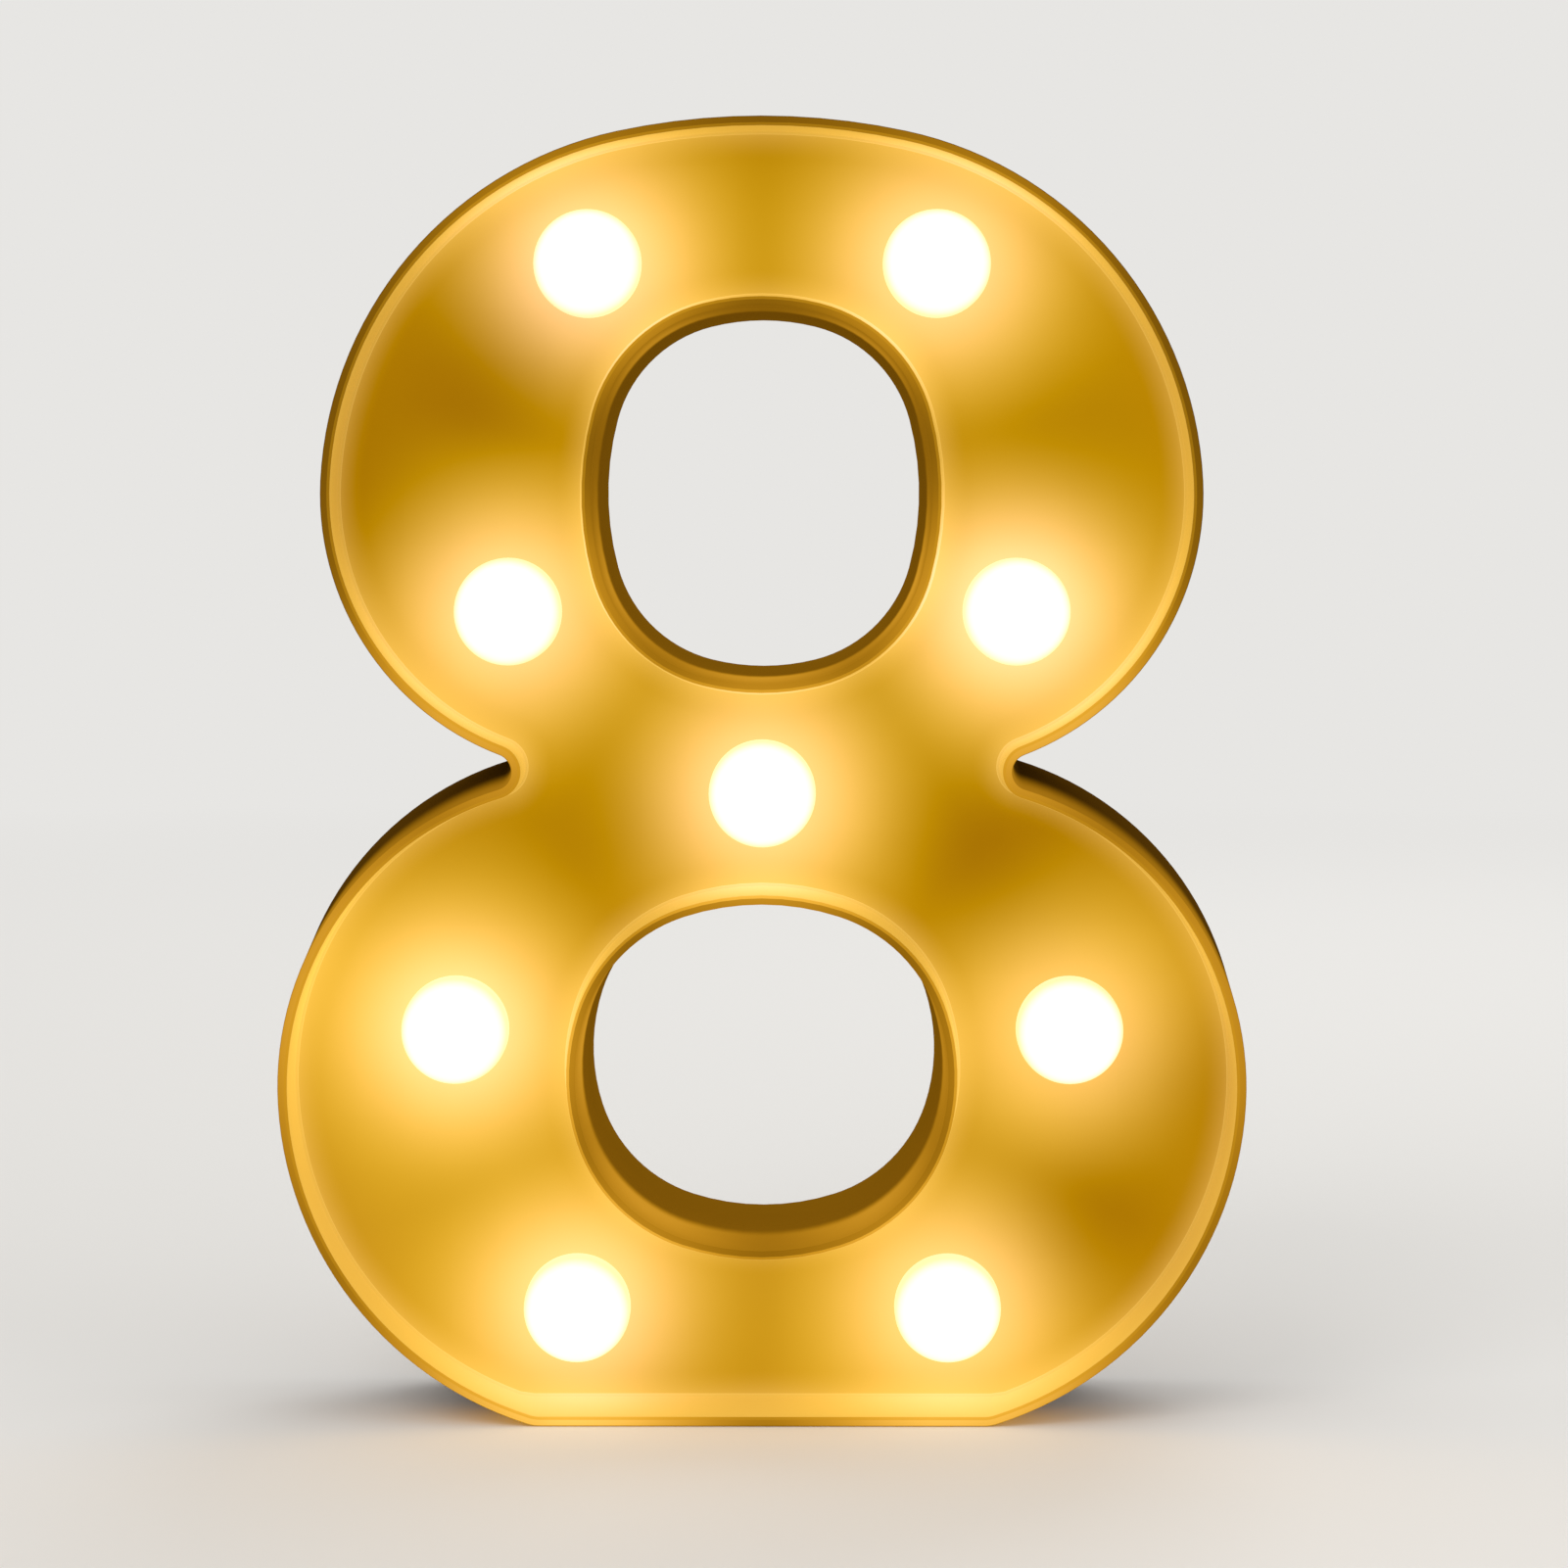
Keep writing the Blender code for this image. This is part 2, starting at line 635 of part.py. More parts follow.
hang_end = bmesh.new()
add_rod(hang_end, 0, HANG_Z + HANG_RISE, HANG_NECK_R, PANEL_Y - OVERLAP, BACK_Y + OVERLAP, HOLE_STEPS)
combine(back, add_cutter("hang_end", mesh_from("hang_end", hang_end)), "DIFFERENCE")

# Frosted globes, collars and lamps, all turned about the globe's own axis
FORWARD = (math.radians(90), 0, 0)
inner_r = NECK_R - NECK_WALL
globe_profile = [
    (GLOBE_R * math.sin(math.radians(a)), GLOBE_STRAIGHT + GLOBE_R * math.cos(math.radians(a)))
    for a in range(0, 91, 18)
]
globe_profile += [(GLOBE_R, GAP), (NECK_R, GAP), (NECK_R, -NECK_BACK), (inner_r, -NECK_BACK)]
inner_centre = GLOBE_STRAIGHT + GLOBE_R - GLOBE_WALL - inner_r
globe_profile += [
    (inner_r * math.sin(math.radians(a)), inner_centre + inner_r * math.cos(math.radians(a)))
    for a in range(90, -1, -45)
]
globe_profile[0] = (0, GLOBE_STRAIGHT + GLOBE_R)
globe_profile[-1] = (0, inner_centre + inner_r)

groove_floor = -NECK_BACK - GAP
collar_back = groove_floor - COLLAR_BASE
lamp_seat = collar_back - GAP
plug_r = inner_r - GAP
bore_r = LAMP_R + GAP
collar_profile = (
    (bore_r, groove_floor + PLUG_RISE),
    (plug_r, groove_floor + PLUG_RISE),
    (plug_r, groove_floor),
    (NECK_R + GAP, groove_floor),
    (NECK_R + GAP, -FACE - GAP),
    (COLLAR_R, -FACE - GAP),
    (COLLAR_R, collar_back),
    (bore_r, collar_back),
)

lamp_top = lamp_seat + LAMP_LENGTH
lamp_profile = [
    (LAMP_R * math.sin(math.radians(a)), lamp_top - LAMP_R + LAMP_R * math.cos(math.radians(a)))
    for a in range(0, 91, 45)
]
lamp_profile[0] = (0, lamp_top)
lamp_profile += [
    (LAMP_R, lamp_seat),
    (LAMP_FLANGE_R, lamp_seat),
    (LAMP_FLANGE_R, -LAMP_BEHIND),
    (0, -LAMP_BEHIND),
]

for place, share in GLOBE_SHARES.items():
    x, z = at(share)
    spot = (x, FACE_Y, z)
    turned("globe_" + place, globe_profile, GLOBE_STEPS, "frosted_globe", spot, FORWARD)
    turned("collar_" + place, collar_profile, COLLAR_STEPS, "collar_plastic", spot, FORWARD, closed=True)
    turned("lamp_" + place, lamp_profile, LAMP_STEPS, "lamp_lens", spot, FORWARD)

# Screws, driven from behind
BACKWARD = (math.radians(-90), 0, 0)
screw_profile = (
    (0, SCREW_HEAD),
    (SCREW_HEAD_R * 0.6, SCREW_HEAD * 0.92),
    (SCREW_HEAD_R, SCREW_HEAD * 0.55),
    (SCREW_HEAD_R, 0),
    (SCREW_SHANK_R, 0),
    (SCREW_SHANK_R, -SCREW_LENGTH + SCREW_SHANK_R),
    (0, -SCREW_LENGTH),
)
for place, (x, z) in screw_places.items():
    turned("screw_" + place, screw_profile, SCREW_STEPS, "screw_steel", (x, head_seat + GAP, z), BACKWARD)

# Two cells side by side, the upper one with its nub to the right
cell_profile = (
    (0, CELL_LENGTH / 2),
    (CELL_NUB_R, CELL_LENGTH / 2),
    (CELL_NUB_R, CELL_LENGTH / 2 - CELL_NUB),
    (CELL_R - CELL_EDGE, CELL_LENGTH / 2 - CELL_NUB),
    (CELL_R, CELL_LENGTH / 2 - CELL_NUB - CELL_EDGE),
    (CELL_R, -CELL_LENGTH / 2 + CELL_EDGE),
    (CELL_R - CELL_EDGE, -CELL_LENGTH / 2),
    (0, -CELL_LENGTH / 2),
)
for name, side in (("cell_upper", 1), ("cell_lower", -1)):
    spot = (side * CELL_SHIFT, CELL_Y, BOX_Z + side * CELL_Z_OFF)
    turned(name, cell_profile, CELL_STEPS, "cell_sleeve", spot, (0, math.radians(90 * side), 0))

# Contacts: a plate behind each cell end, with a coned spring for the flat end or a raised button
button_reach = PLATE_X - GAP - (CELL_LENGTH / 2 + CELL_SHIFT)
spring_reach = PLATE_X - GAP - (CELL_LENGTH / 2 - CELL_SHIFT)


def add_spring(name, side, z):
    """A coned spring on the plate, unbroken from its foot to its last turn, as a mesh tube."""
    path = bpy.data.curves.new(name, "CURVE")
    path.dimensions = "3D"
    path.bevel_depth = SPRING_WIRE_R
    path.bevel_resolution = 1
    path.use_fill_caps = True
    count = SPRING_TURNS * SPRING_POINTS + 1
    line = path.splines.new("POLY")
    line.points.add(count - 1)
    foot = PLATE_X + SPRING_WIRE_R / 2
    tip = PLATE_X - spring_reach + SPRING_WIRE_R
    for i in range(count):
        share = i / (count - 1)
        angle = math.tau * i / SPRING_POINTS
        radius = SPRING_BIG_R + (SPRING_SMALL_R - SPRING_BIG_R) * share
        x = foot + (tip - foot) * share
        y = CELL_Y + radius * math.cos(angle)
        line.points[i].co = (side * x, y, z + radius * math.sin(angle), 1)
    rise = (foot - tip) / SPRING_TURNS
    shrink = (SPRING_BIG_R - SPRING_SMALL_R) / SPRING_TURNS
    print(name, "least gap between turns, mm:", round((math.hypot(rise, shrink) - 2 * SPRING_WIRE_R) * 1000, 2))
    curve = bpy.data.objects.new(name, path)
    cutters.objects.link(curve)
    bpy.context.view_layer.update()
    mesh = bpy.data.meshes.new_from_object(curve)
    bm = bmesh.new()
    bm.from_mesh(mesh)
    bmesh.ops.remove_doubles(bm, verts=bm.verts, dist=GAP / 30)
    bpy.data.objects.remove(curve)
    return add_cutter(name, mesh_from(name + "_tube", bm, True))


def add_contact(name, side, low_z, high_z, spring_z, button_z, tab_z):
    """One contact, its plate between two heights, with what it carries."""
    bm = bmesh.new()
    near, far = sorted((side * PLATE_X, side * (PLATE_X + PLATE)))
    add_block(bm, (near, CELL_Y - PLATE_HALF, low_z), (far, CELL_Y + PLATE_HALF, high_z))
    contact = add_part(name, mesh_from(name, bm), "contact_nickel")
    if tab_z is not None:
        tab = bmesh.new()
        add_block(
            tab,
            (near, TAB_END_Y, tab_z - TAB_HALF),
            (far, CELL_Y - PLATE_HALF + OVERLAP, tab_z + TAB_HALF),
        )
        combine(contact, add_cutter(name + "_tab", mesh_from(name + "_tab", tab)), "UNION")
    if button_z is not None:
        button = bmesh.new()
        root = side * (PLATE_X + PLATE / 2)
        tip = side * (PLATE_X - button_reach)
        radii = (BUTTON_R, BUTTON_R * 0.7)
        if side > 0:
            add_cross_rod(button, CELL_Y, button_z, radii[1], tip, root, HOLE_STEPS, radii[0])
        else:
            add_cross_rod(button, CELL_Y, button_z, radii[0], root, tip, HOLE_STEPS, radii[1])
        combine(contact, add_cutter(name + "_button", mesh_from(name + "_button", button)), "UNION")
    if spring_z is not None:
        combine(contact, add_spring(name + "_spring", side, spring_z), "UNION")
    return contact


upper_z = BOX_Z + CELL_Z_OFF
lower_z = BOX_Z - CELL_Z_OFF
add_contact("contact_link", -1, lower_z - PLATE_HALF, upper_z + PLATE_HALF, upper_z, lower_z, None)
add_contact("contact_positive", 1, upper_z - PLATE_HALF, upper_z + PLATE_HALF, None, upper_z, upper_z)
add_contact("contact_negative", 1, lower_z - PLATE_HALF, lower_z + PLATE_HALF, lower_z, None, lower_z)

# Battery door: a flap on a barrel, with a springy latch tongue between two slits
door_mesh = bmesh.new()
add_block(
    door_mesh,
    (-DOOR_HALF_X, BACK_Y - DOOR - HINGE_Y, 0),
    (DOOR_HALF_X, BACK_Y - HINGE_Y, BOX_Z + DOOR_HALF_Z - HINGE_Z),
)
door = add_part("battery_door", mesh_from("battery_door", door_mesh), "back_plastic", (0, HINGE_Y, HINGE_Z))
barrel = bmesh.new()
add_cross_rod(barrel, HINGE_Y, HINGE_Z, HINGE_R, -DOOR_HALF_X, DOOR_HALF_X, HOLE_STEPS)
combine(door, add_cutter("door_barrel", mesh_from("door_barrel", barrel)), "UNION")
pins = bmesh.new()
pin_x = DOOR_HALF_X + HINGE_PIN
add_cross_rod(pins, HINGE_Y, HINGE_Z, HINGE_PIN_R, -pin_x, pin_x, SCREW_STEPS)
combine(door, add_cutter("door_pins", mesh_from("door_pins", pins)), "UNION")
slits = bmesh.new()
door_top = BOX_Z + DOOR_HALF_Z
for side in (-1, 1):
    near, far = sorted((side * LATCH_HALF, side * (LATCH_HALF + LATCH_SLIT)))
    add_block(
        slits,
        (near, BACK_Y - DOOR - OVERLAP, door_top - LATCH_LENGTH),
        (far, BACK_Y + OVERLAP, door_top + OVERLAP),
    )
combine(door, add_cutter("latch_slits", mesh_from("latch_slits", slits)), "DIFFERENCE")

# Slide switch: a pressed can with a channel for its knob and three terminals
switch_mesh = bmesh.new()
add_block(
    switch_mesh,
    (-SWITCH_HALF_X, SWITCH_Y - SWITCH_DEPTH, SWITCH_Z - SWITCH_HALF_Z),
    (SWITCH_HALF_X, SWITCH_Y, SWITCH_Z + SWITCH_HALF_Z),
)
switch = add_part("switch_body", mesh_from("switch_body", switch_mesh), "switch_body")
terminals = bmesh.new()
for step in (-1, 0, 1):
    x = step * TERMINAL_PITCH
    add_block(
        terminals,
        (x - TERMINAL_HALF, SWITCH_Y - SWITCH_DEPTH - TERMINAL, SWITCH_Z - 2 * TERMINAL_HALF),
        (x + TERMINAL_HALF, SWITCH_Y - SWITCH_DEPTH + OVERLAP, SWITCH_Z + 2 * TERMINAL_HALF),
    )
combine(switch, add_cutter("switch_terminals", mesh_from("switch_terminals", terminals)), "UNION")
channel = bmesh.new()
add_block(
    channel,
    (-SLOT_HALF_X, SWITCH_Y - SWITCH_CHANNEL, SWITCH_Z - SLOT_HALF_Z),
    (SLOT_HALF_X, SWITCH_Y + OVERLAP, SWITCH_Z + SLOT_HALF_Z),
)
combine(switch, add_cutter("switch_channel", mesh_from("switch_channel", channel)), "DIFFERENCE")

# Knob, at the end of its travel where the lamps are on
knob_mesh = bmesh.new()
knob_foot = SWITCH_Y - SWITCH_CHANNEL + GAP
knob_top = POCKET_Y + KNOB_PROUD
add_block(
    knob_mesh,
    (-KNOB_HALF, knob_foot - knob_top, -KNOB_HALF),
    (KNOB_HALF, 0, KNOB_HALF),
)
knob_spot = (-KNOB_TRAVEL / 2, knob_top, SWITCH_Z)
knob = add_part("switch_knob", mesh_from("switch_knob", knob_mesh), "knob_plastic", knob_spot)
grooves = bmesh.new()
for step in (-1, 0, 1):
    x = knob_spot[0] + step * KNOB_HALF / 2
    add_block(
        grooves,
        (x - KNOB_GROOVE / 2, knob_top - KNOB_GROOVE, SWITCH_Z - KNOB_HALF - OVERLAP),
        (x + KNOB_GROOVE / 2, knob_top + OVERLAP, SWITCH_Z + KNOB_HALF + OVERLAP),
    )
combine(knob, add_cutter("knob_grooves", mesh_from("knob_grooves", grooves)), "DIFFERENCE")


# Wires
def add_wire(name, points, radius, material):
    """A round wire through the points, closed at both ends."""
    path = bpy.data.curves.new(name, "CURVE")
    path.dimensions = "3D"
    path.bevel_depth = radius
    path.bevel_resolution = 1
    path.use_fill_caps = True
    line = path.splines.new("POLY")
    line.points.add(len(points) - 1)
    for spot, point in zip(line.points, points):
        spot.co = (*point, 1)
    curve = bpy.data.objects.new(name, path)
    cutters.objects.link(curve)
    bpy.context.view_layer.update()
    mesh = bpy.data.meshes.new_from_object(curve)
    bm = bmesh.new()
    bm.from_mesh(mesh)
    bmesh.ops.remove_doubles(bm, verts=bm.verts, dist=GAP / 30)
    bpy.data.objects.remove(curve)
    return add_part(name, mesh_from(name, bm, True), material)


def lamp_end(place, way):
    """The end of a wire at a lamp: from its back and then off in a direction."""
    x, z = at(GLOBE_SHARES[place])
    way = Vector((way[0], way[1])).normalized()
    out = WIRE_REACH * way
    off = (WIRE_REACH + 2 * WIRE_BEND) * way
    return [
        (x + out.x, LAMP_BACK_Y + GAP, z + out.y),
        (x + out.x, TWIN_Y - WIRE_BEND, z + out.y),
        (x + (out.x + off.x) / 2, TWIN_Y - WIRE_BEND / 4, z + (out.y + off.y) / 2),
        (x + off.x, TWIN_Y, z + off.y),
    ]


TWIN_LINKS = (
    ("centre", "upper_left"),
    ("upper_left", "top_left"),
    ("top_left", "top_right"),
    ("top_right", "upper_right"),
    ("centre", "lower_left"),
    ("lower_left", "foot_left"),
    ("foot_left", "foot_right"),
    ("foot_right", "lower_right"),
)
for first, second in TWIN_LINKS:
    start = Vector(at(GLOBE_SHARES[first]))
    end = Vector(at(GLOBE_SHARES[second]))
    points = lamp_end(first, end - start) + lamp_end(second, start - end)[::-1]
    add_wire("wire_" + first + "_to_" + second, points, TWIN_R, "twin_wire")

terminal_y = SWITCH_Y - SWITCH_DEPTH - TERMINAL - GAP


def lead_round_counter(side):
    """A lead from the switch that follows the lower counter up to the waist."""
    x = side * TERMINAL_PITCH
    route = [(x, terminal_y, SWITCH_Z), (x, LEAD_Y + WIRE_BEND, SWITCH_Z), (x + side * WIRE_BEND, LEAD_Y, SWITCH_Z)]
    route += [(side * share[0] * HEIGHT, LEAD_Y, share[1] * HEIGHT) for share in LEAD_LOW_SHARES]
    return route


centre_x, centre_z = at(GLOBE_SHARES["centre"])
switched = lead_round_counter(-1)
switched += [
    (-LEAD_WAIST_SHARES[0][0] * HEIGHT, CROSS_Y, LEAD_WAIST_SHARES[0][1] * HEIGHT),
    (-LEAD_WAIST_SHARES[1][0] * HEIGHT, TAB_END_Y, LEAD_WAIST_SHARES[1][1] * HEIGHT),
    (centre_x, TAB_END_Y - WIRE_BEND / 2, centre_z - WIRE_REACH - 2 * WIRE_BEND),
    (centre_x, TWIN_Y - WIRE_BEND, centre_z - WIRE_REACH),
    (centre_x, LAMP_BACK_Y + GAP, centre_z - WIRE_REACH),
]
add_wire("lead_switched", switched, LEAD_R, "black_wire")

tab_x = PLATE_X + PLATE / 2
tab_end = TAB_END_Y - GAP
negative = lead_round_counter(1)
negative += [
    (tab_x, TAB_END_Y, lower_z - 4 * WIRE_BEND),
    (tab_x, tab_end - LEAD_R, lower_z),
]
add_wire("lead_negative", negative, LEAD_R, "black_wire")

resistor_x = tab_x - RESISTOR_REACH
resistor_z = upper_z - WIRE_BEND
resistor_profile = (
    (0, RESISTOR_HALF),
    (RESISTOR_R * 0.6, RESISTOR_HALF),
    (RESISTOR_R, RESISTOR_HALF * 0.8),
    (RESISTOR_R, RESISTOR_HALF * 0.5),
    (RESISTOR_R * 0.85, RESISTOR_HALF * 0.4),
    (RESISTOR_R * 0.85, -RESISTOR_HALF * 0.4),
    (RESISTOR_R, -RESISTOR_HALF * 0.5),
    (RESISTOR_R, -RESISTOR_HALF * 0.8),
    (RESISTOR_R * 0.6, -RESISTOR_HALF),
    (0, -RESISTOR_HALF),
)
resistor_spot = (resistor_x, TWIN_Y, resistor_z)
turned("resistor", resistor_profile, RESISTOR_STEPS, "resistor_lacquer", resistor_spot, (0, math.radians(90), 0))
add_wire("lead_positive", [
    (resistor_x + RESISTOR_HALF + GAP, TWIN_Y, resistor_z),
    ((resistor_x + tab_x) / 2, TWIN_Y, resistor_z),
    (tab_x - WIRE_BEND, tab_end - LEAD_R, upper_z),
    (tab_x, tab_end - LEAD_R, upper_z),
], LEAD_R, "red_wire")
add_wire("lead_resistor", [
    (resistor_x - RESISTOR_HALF - GAP, TWIN_Y, resistor_z),
    (centre_x + WIRE_REACH + 3 * WIRE_BEND, TWIN_Y, centre_z + WIRE_BEND),
    (centre_x + WIRE_REACH + WIRE_BEND / 2, TWIN_Y - WIRE_BEND / 2, centre_z),
    (centre_x + WIRE_REACH, TWIN_Y - WIRE_BEND, centre_z),
    (centre_x + WIRE_REACH, LAMP_BACK_Y + GAP, centre_z),
], LEAD_R, "red_wire")
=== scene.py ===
"""Looks of the light up marquee number 8: finer mouldings, frosted globes, plastics with painted glow and
painted shade, and a plain studio.
"""
import math

import bmesh
import bpy
from mathutils import Matrix, Vector


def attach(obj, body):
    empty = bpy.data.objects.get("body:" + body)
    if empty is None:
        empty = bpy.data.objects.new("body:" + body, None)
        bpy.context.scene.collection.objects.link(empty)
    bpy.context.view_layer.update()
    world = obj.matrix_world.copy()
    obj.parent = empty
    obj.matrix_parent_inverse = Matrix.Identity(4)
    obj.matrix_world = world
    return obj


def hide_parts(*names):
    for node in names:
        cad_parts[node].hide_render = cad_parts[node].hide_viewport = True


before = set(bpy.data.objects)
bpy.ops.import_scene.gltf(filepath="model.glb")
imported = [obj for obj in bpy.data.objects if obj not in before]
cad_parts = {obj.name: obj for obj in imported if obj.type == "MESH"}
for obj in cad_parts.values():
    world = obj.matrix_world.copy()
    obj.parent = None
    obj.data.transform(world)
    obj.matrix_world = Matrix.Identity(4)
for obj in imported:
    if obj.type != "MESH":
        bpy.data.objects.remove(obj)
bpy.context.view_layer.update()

# Outline, as in the CAD model: lengths in metres or as shares of the height, turns in degrees
HEIGHT = 0.220
DEPTH = 0.045
SPREAD = 0.0024
COUNTER_SPREAD = 0.0012
FRONT_Y = -DEPTH / 2
BACK_Y = DEPTH / 2
FOOT_HALF_SHARE = 0.170
OUTLINE_ARC_SHARES = ((0.036, 18), (0.274, 69), (0.240, 76), (0.0138, -142), (0.211, 72), (0.285, 75))
TOP_TURN = 12
UPPER_FOOT_SHARE = 0.571
UPPER_ARC_SHARES = ((0.176, 14), (0.109, 61), (0.233, 30))
LOWER_FOOT_SHARE = 0.136
LOWER_ARC_SHARES = ((0.191, 18), (0.118, 54), (0.155, 36))

# Steps in degrees along the outline and counters, finer than in the CAD model
STEP = 2.5
COUNTER_STEP = 4.0
NOTCH_COARSER = 3
LEAST_PIECES = 3

# Rim, recess, walls and the seam between the two mouldings
RIM = 0.0017
EDGE = 0.0006
RECESS_LEAN = 0.0007
RECESS_FILLET = 0.0005
# Width of the strip of plate by the wall that gets painted light
NEAR_WALL_WIDTH = 0.0042
WALL = 0.0020
PANEL = 0.0020
BACK_EDGE = 0.0008
SEAM_GAP = 0.0003
SEAM_EDGE = 0.00025
LIP = 0.0012
LIP_LENGTH = 0.0025
LIP_ROOT = 0.0030
GAP = 0.0003
FACE_Y = -0.0081
FACE_BACK_Y = -0.0061
SEAM_Y = 0.0005
PANEL_Y = BACK_Y - PANEL

# How far shapes reach past what they join or cut, and the chamfer at the mouths of the round holes
OVER = 0.0005
SKIM = 0.0001
CHAMFER = 0.0004
INSIDE_Y = PANEL_Y + OVER
OUTSIDE_Y = BACK_Y + OVER
MOUTH_DEPTHS = (BACK_Y - CHAMFER, BACK_Y + SKIM)

# Place of each globe as shares of the height, and how strong its painted glow is on the plate and walls
GLOBES = {
    "top_left": (-0.134, 0.891, 0.90),
    "top_right": (0.134, 0.891, 0.85),
    "upper_left": (-0.196, 0.624, 0.85),
    "upper_right": (0.196, 0.624, 1.00),
    "centre": (0, 0.4836, 0.85),
    "lower_left": (-0.238, 0.300, 0.90),
    "lower_right": (0.238, 0.300, 0.60),
    "foot_left": (-0.144, 0.0827, 0.85),
    "foot_right": (0.144, 0.0827, 0.75),
}
# Painted shade and painted light: where the plate is darker or lighter than the globes alone would make it
PAINTED_PATCHES = {
    "beside_top_left": (-0.20, 0.82, -0.17),
    "upper_loop_left": (-0.30, 0.70, -0.08),
    "upper_loop_right": (0.22, 0.74, -0.07),
    "waist_left": (-0.11, 0.45, -0.10),
    "waist_right": (0.17, 0.43, -0.12),
    "lower_loop_left": (-0.35, 0.35, 0.08),
    "lower_loop_right": (0.35, 0.26, -0.12),
    "beside_foot_right": (0.25, 0.15, -0.15),
    "foot_middle": (-0.07, 0.04, -0.07),
}
GLOBE_R = 0.0091
GLOBE_STRAIGHT = 0.0035
GLOBE_EDGE = 0.0003
GLOBE_WALL = 0.0012
NECK_R = 0.0079
NECK_BACK = 0.0044
NECK_WALL = 0.0010

# Screws, their bosses in the front and their wells in the back
SCREWS = {"top": (0.2455, 0.7818), "waist": (0.2818, 0.4091), "foot": (0.2727, 0.1545)}
HOLE_R = 0.0016
HOLE_END_Y = -0.0043
BOSS_R = 0.0035
BOSS_END_Y = 0.0057
BOSS_CLEAR = 0.00001
WELL_R = 0.0031
WELL_OUT_R = 0.0050
WELL_Y = 0.0060
SEAT_Y = WELL_Y + 0.0020
HEAD_R = 0.0028
HEAD_TOP = 0.0019
HEAD_BRIM = 0.0009
HEAD_EDGE = 0.0001
# Shares of the head's radius, and heights above its seat
HEAD_DOME = ((0.45, 0.00186), (0.75, 0.00168), (0.93, 0.0013))
SHANK_R = 0.0013
SHANK_LENGTH = 0.0105
THREAD_ROOT_R = SHANK_R * 0.82
THREAD_START = 0.0005
THREAD_PITCH = 0.0008
THREAD_TURNS = 11
THREAD_FLANK = 0.0003
THREAD_CREST = 0.00005
CROSS_REACH = 0.0016
CROSS_HALF = 0.00035
CROSS_TOP = 0.0025

# Cells, battery box and door
CELL_R = 0.00725
CELL_LENGTH = 0.0505
CELL_SHIFT = 0.0014
NUB_R = 0.00275
NUB_HEIGHT = 0.0010
NUB_EDGE = 0.0004
COPPER_X = (0.0120, 0.0122)
BOX_Z = 0.4868 * HEIGHT
BOX_X = CELL_LENGTH / 2 + CELL_SHIFT + 0.00235
BOX_WALL = 0.0015
DOOR = 0.0020
DOOR_LEDGE = 0.0022
DOOR_EDGE = 0.0004
CELL_Y = BACK_Y - DOOR - 0.0004 - CELL_R
FLOOR_Y = CELL_Y - CELL_R - GAP
BOX_OUT_Y = FLOOR_Y - BOX_WALL
CELL_Z = CELL_R + GAP / 2
UPPER_Z = BOX_Z + CELL_Z
LOWER_Z = BOX_Z - CELL_Z
BOX_HALF_Z = CELL_Z + CELL_R + GAP
DOOR_X = BOX_X + DOOR_LEDGE
DOOR_HALF_Z = BOX_HALF_Z + DOOR_LEDGE
DOOR_TOP = BOX_Z + DOOR_HALF_Z
FRAME = 0.0012
FRAME_DEPTH = 0.0055
HINGE_R = 0.00145
HINGE_Y = BACK_Y - HINGE_R
HINGE_Z = BOX_Z - DOOR_HALF_Z + HINGE_R
PIN_R = 0.0008
PIN_LENGTH = 0.0012
PIN_HOLE_R = 0.0011
PIN_HOLE_LENGTH = 0.0015
SCOOP_R = 0.0045
SCOOP_MOUTH_R = 0.0049
SCOOP_DEPTH = 0.0012
SCOOP_Z = DOOR_TOP + 0.0008 - SCOOP_R
SLIT_X = (0.0060, 0.0068)
SLIT_LENGTH = 0.0100
GRIP_X = 0.0042
GRIP_START = 0.0049
GRIP_PITCH = 0.0009
GRIP_WIDTH = 0.0004
GRIP_DEPTH = 0.0003
GRIP_LINES = 4
ARROW_X = 0.0022
ARROW_START = 0.0118
ARROW_LENGTH = 0.0026

# Contacts in the battery box
CONTACT = 0.0005
CONTACT_X = BOX_X - GAP - CONTACT
CONTACT_HALF = 0.0055
CONTACT_EDGE = 0.00012
TAB_HALF = 0.0012
TAB_HOLE_HALF = 0.0015
# How far each ring of a button stands behind the contact's face, and its radius
BUTTON_RINGS = ((0.0002, 0.0030), (-0.0004, 0.0027), (-0.00105, 0.0023), (-0.00125, 0.0019))
COIL_WIRE_R = 0.00035
COIL_R = 0.0040
COIL_TAPER = 0.0014
COIL_LENGTH = 0.00370
COIL_TURNS = 3
COIL_STEPS = 28

# Switch pocket, knob and words
SWITCH_Z = 0.0682 * HEIGHT
POCKET_X = 0.0110
POCKET_HALF_Z = 0.0055
POCKET_WALL = 0.0018
POCKET_Y = BACK_Y - 0.0032
POCKET_BACK_Y = POCKET_Y - POCKET_WALL
SLOT_X = 0.0039
SLOT_HALF_Z = 0.0023
CLIP_X = (0.0068, 0.0083)
CLIP_LENGTH = 0.0038
CLIP_HALF_Z = 0.0033
KNOB_X = -0.00125
KNOB_HALF = 0.0020
KNOB_TOP_Y = POCKET_Y + 0.0024
KNOB_FOOT_Y = POCKET_BACK_Y - 0.0028
KNOB_EDGE = 0.0003
KNOB_LINE_PITCH = 0.001
KNOB_LINE_HALF = 0.0002
KNOB_LINE_DEPTH = 0.0004
WORD_X = 0.0050
WORD_Z = SWITCH_Z + POCKET_HALF_Z + 0.0012
WORD_SIZE = 0.0034
WORD_RISE = 0.0001

# Hanging slot and the cup behind it
HANG_Z = 0.918 * HEIGHT
KEY_R = 0.0043
KEY_NECK_R = 0.0021
KEY_RISE = 0.0085
CUP_X = 0.0065
CUP_BELOW = 0.0065
CUP_ABOVE = 0.0130
CUP_DEPTH = 0.0060
CUP_WALL = 0.0015


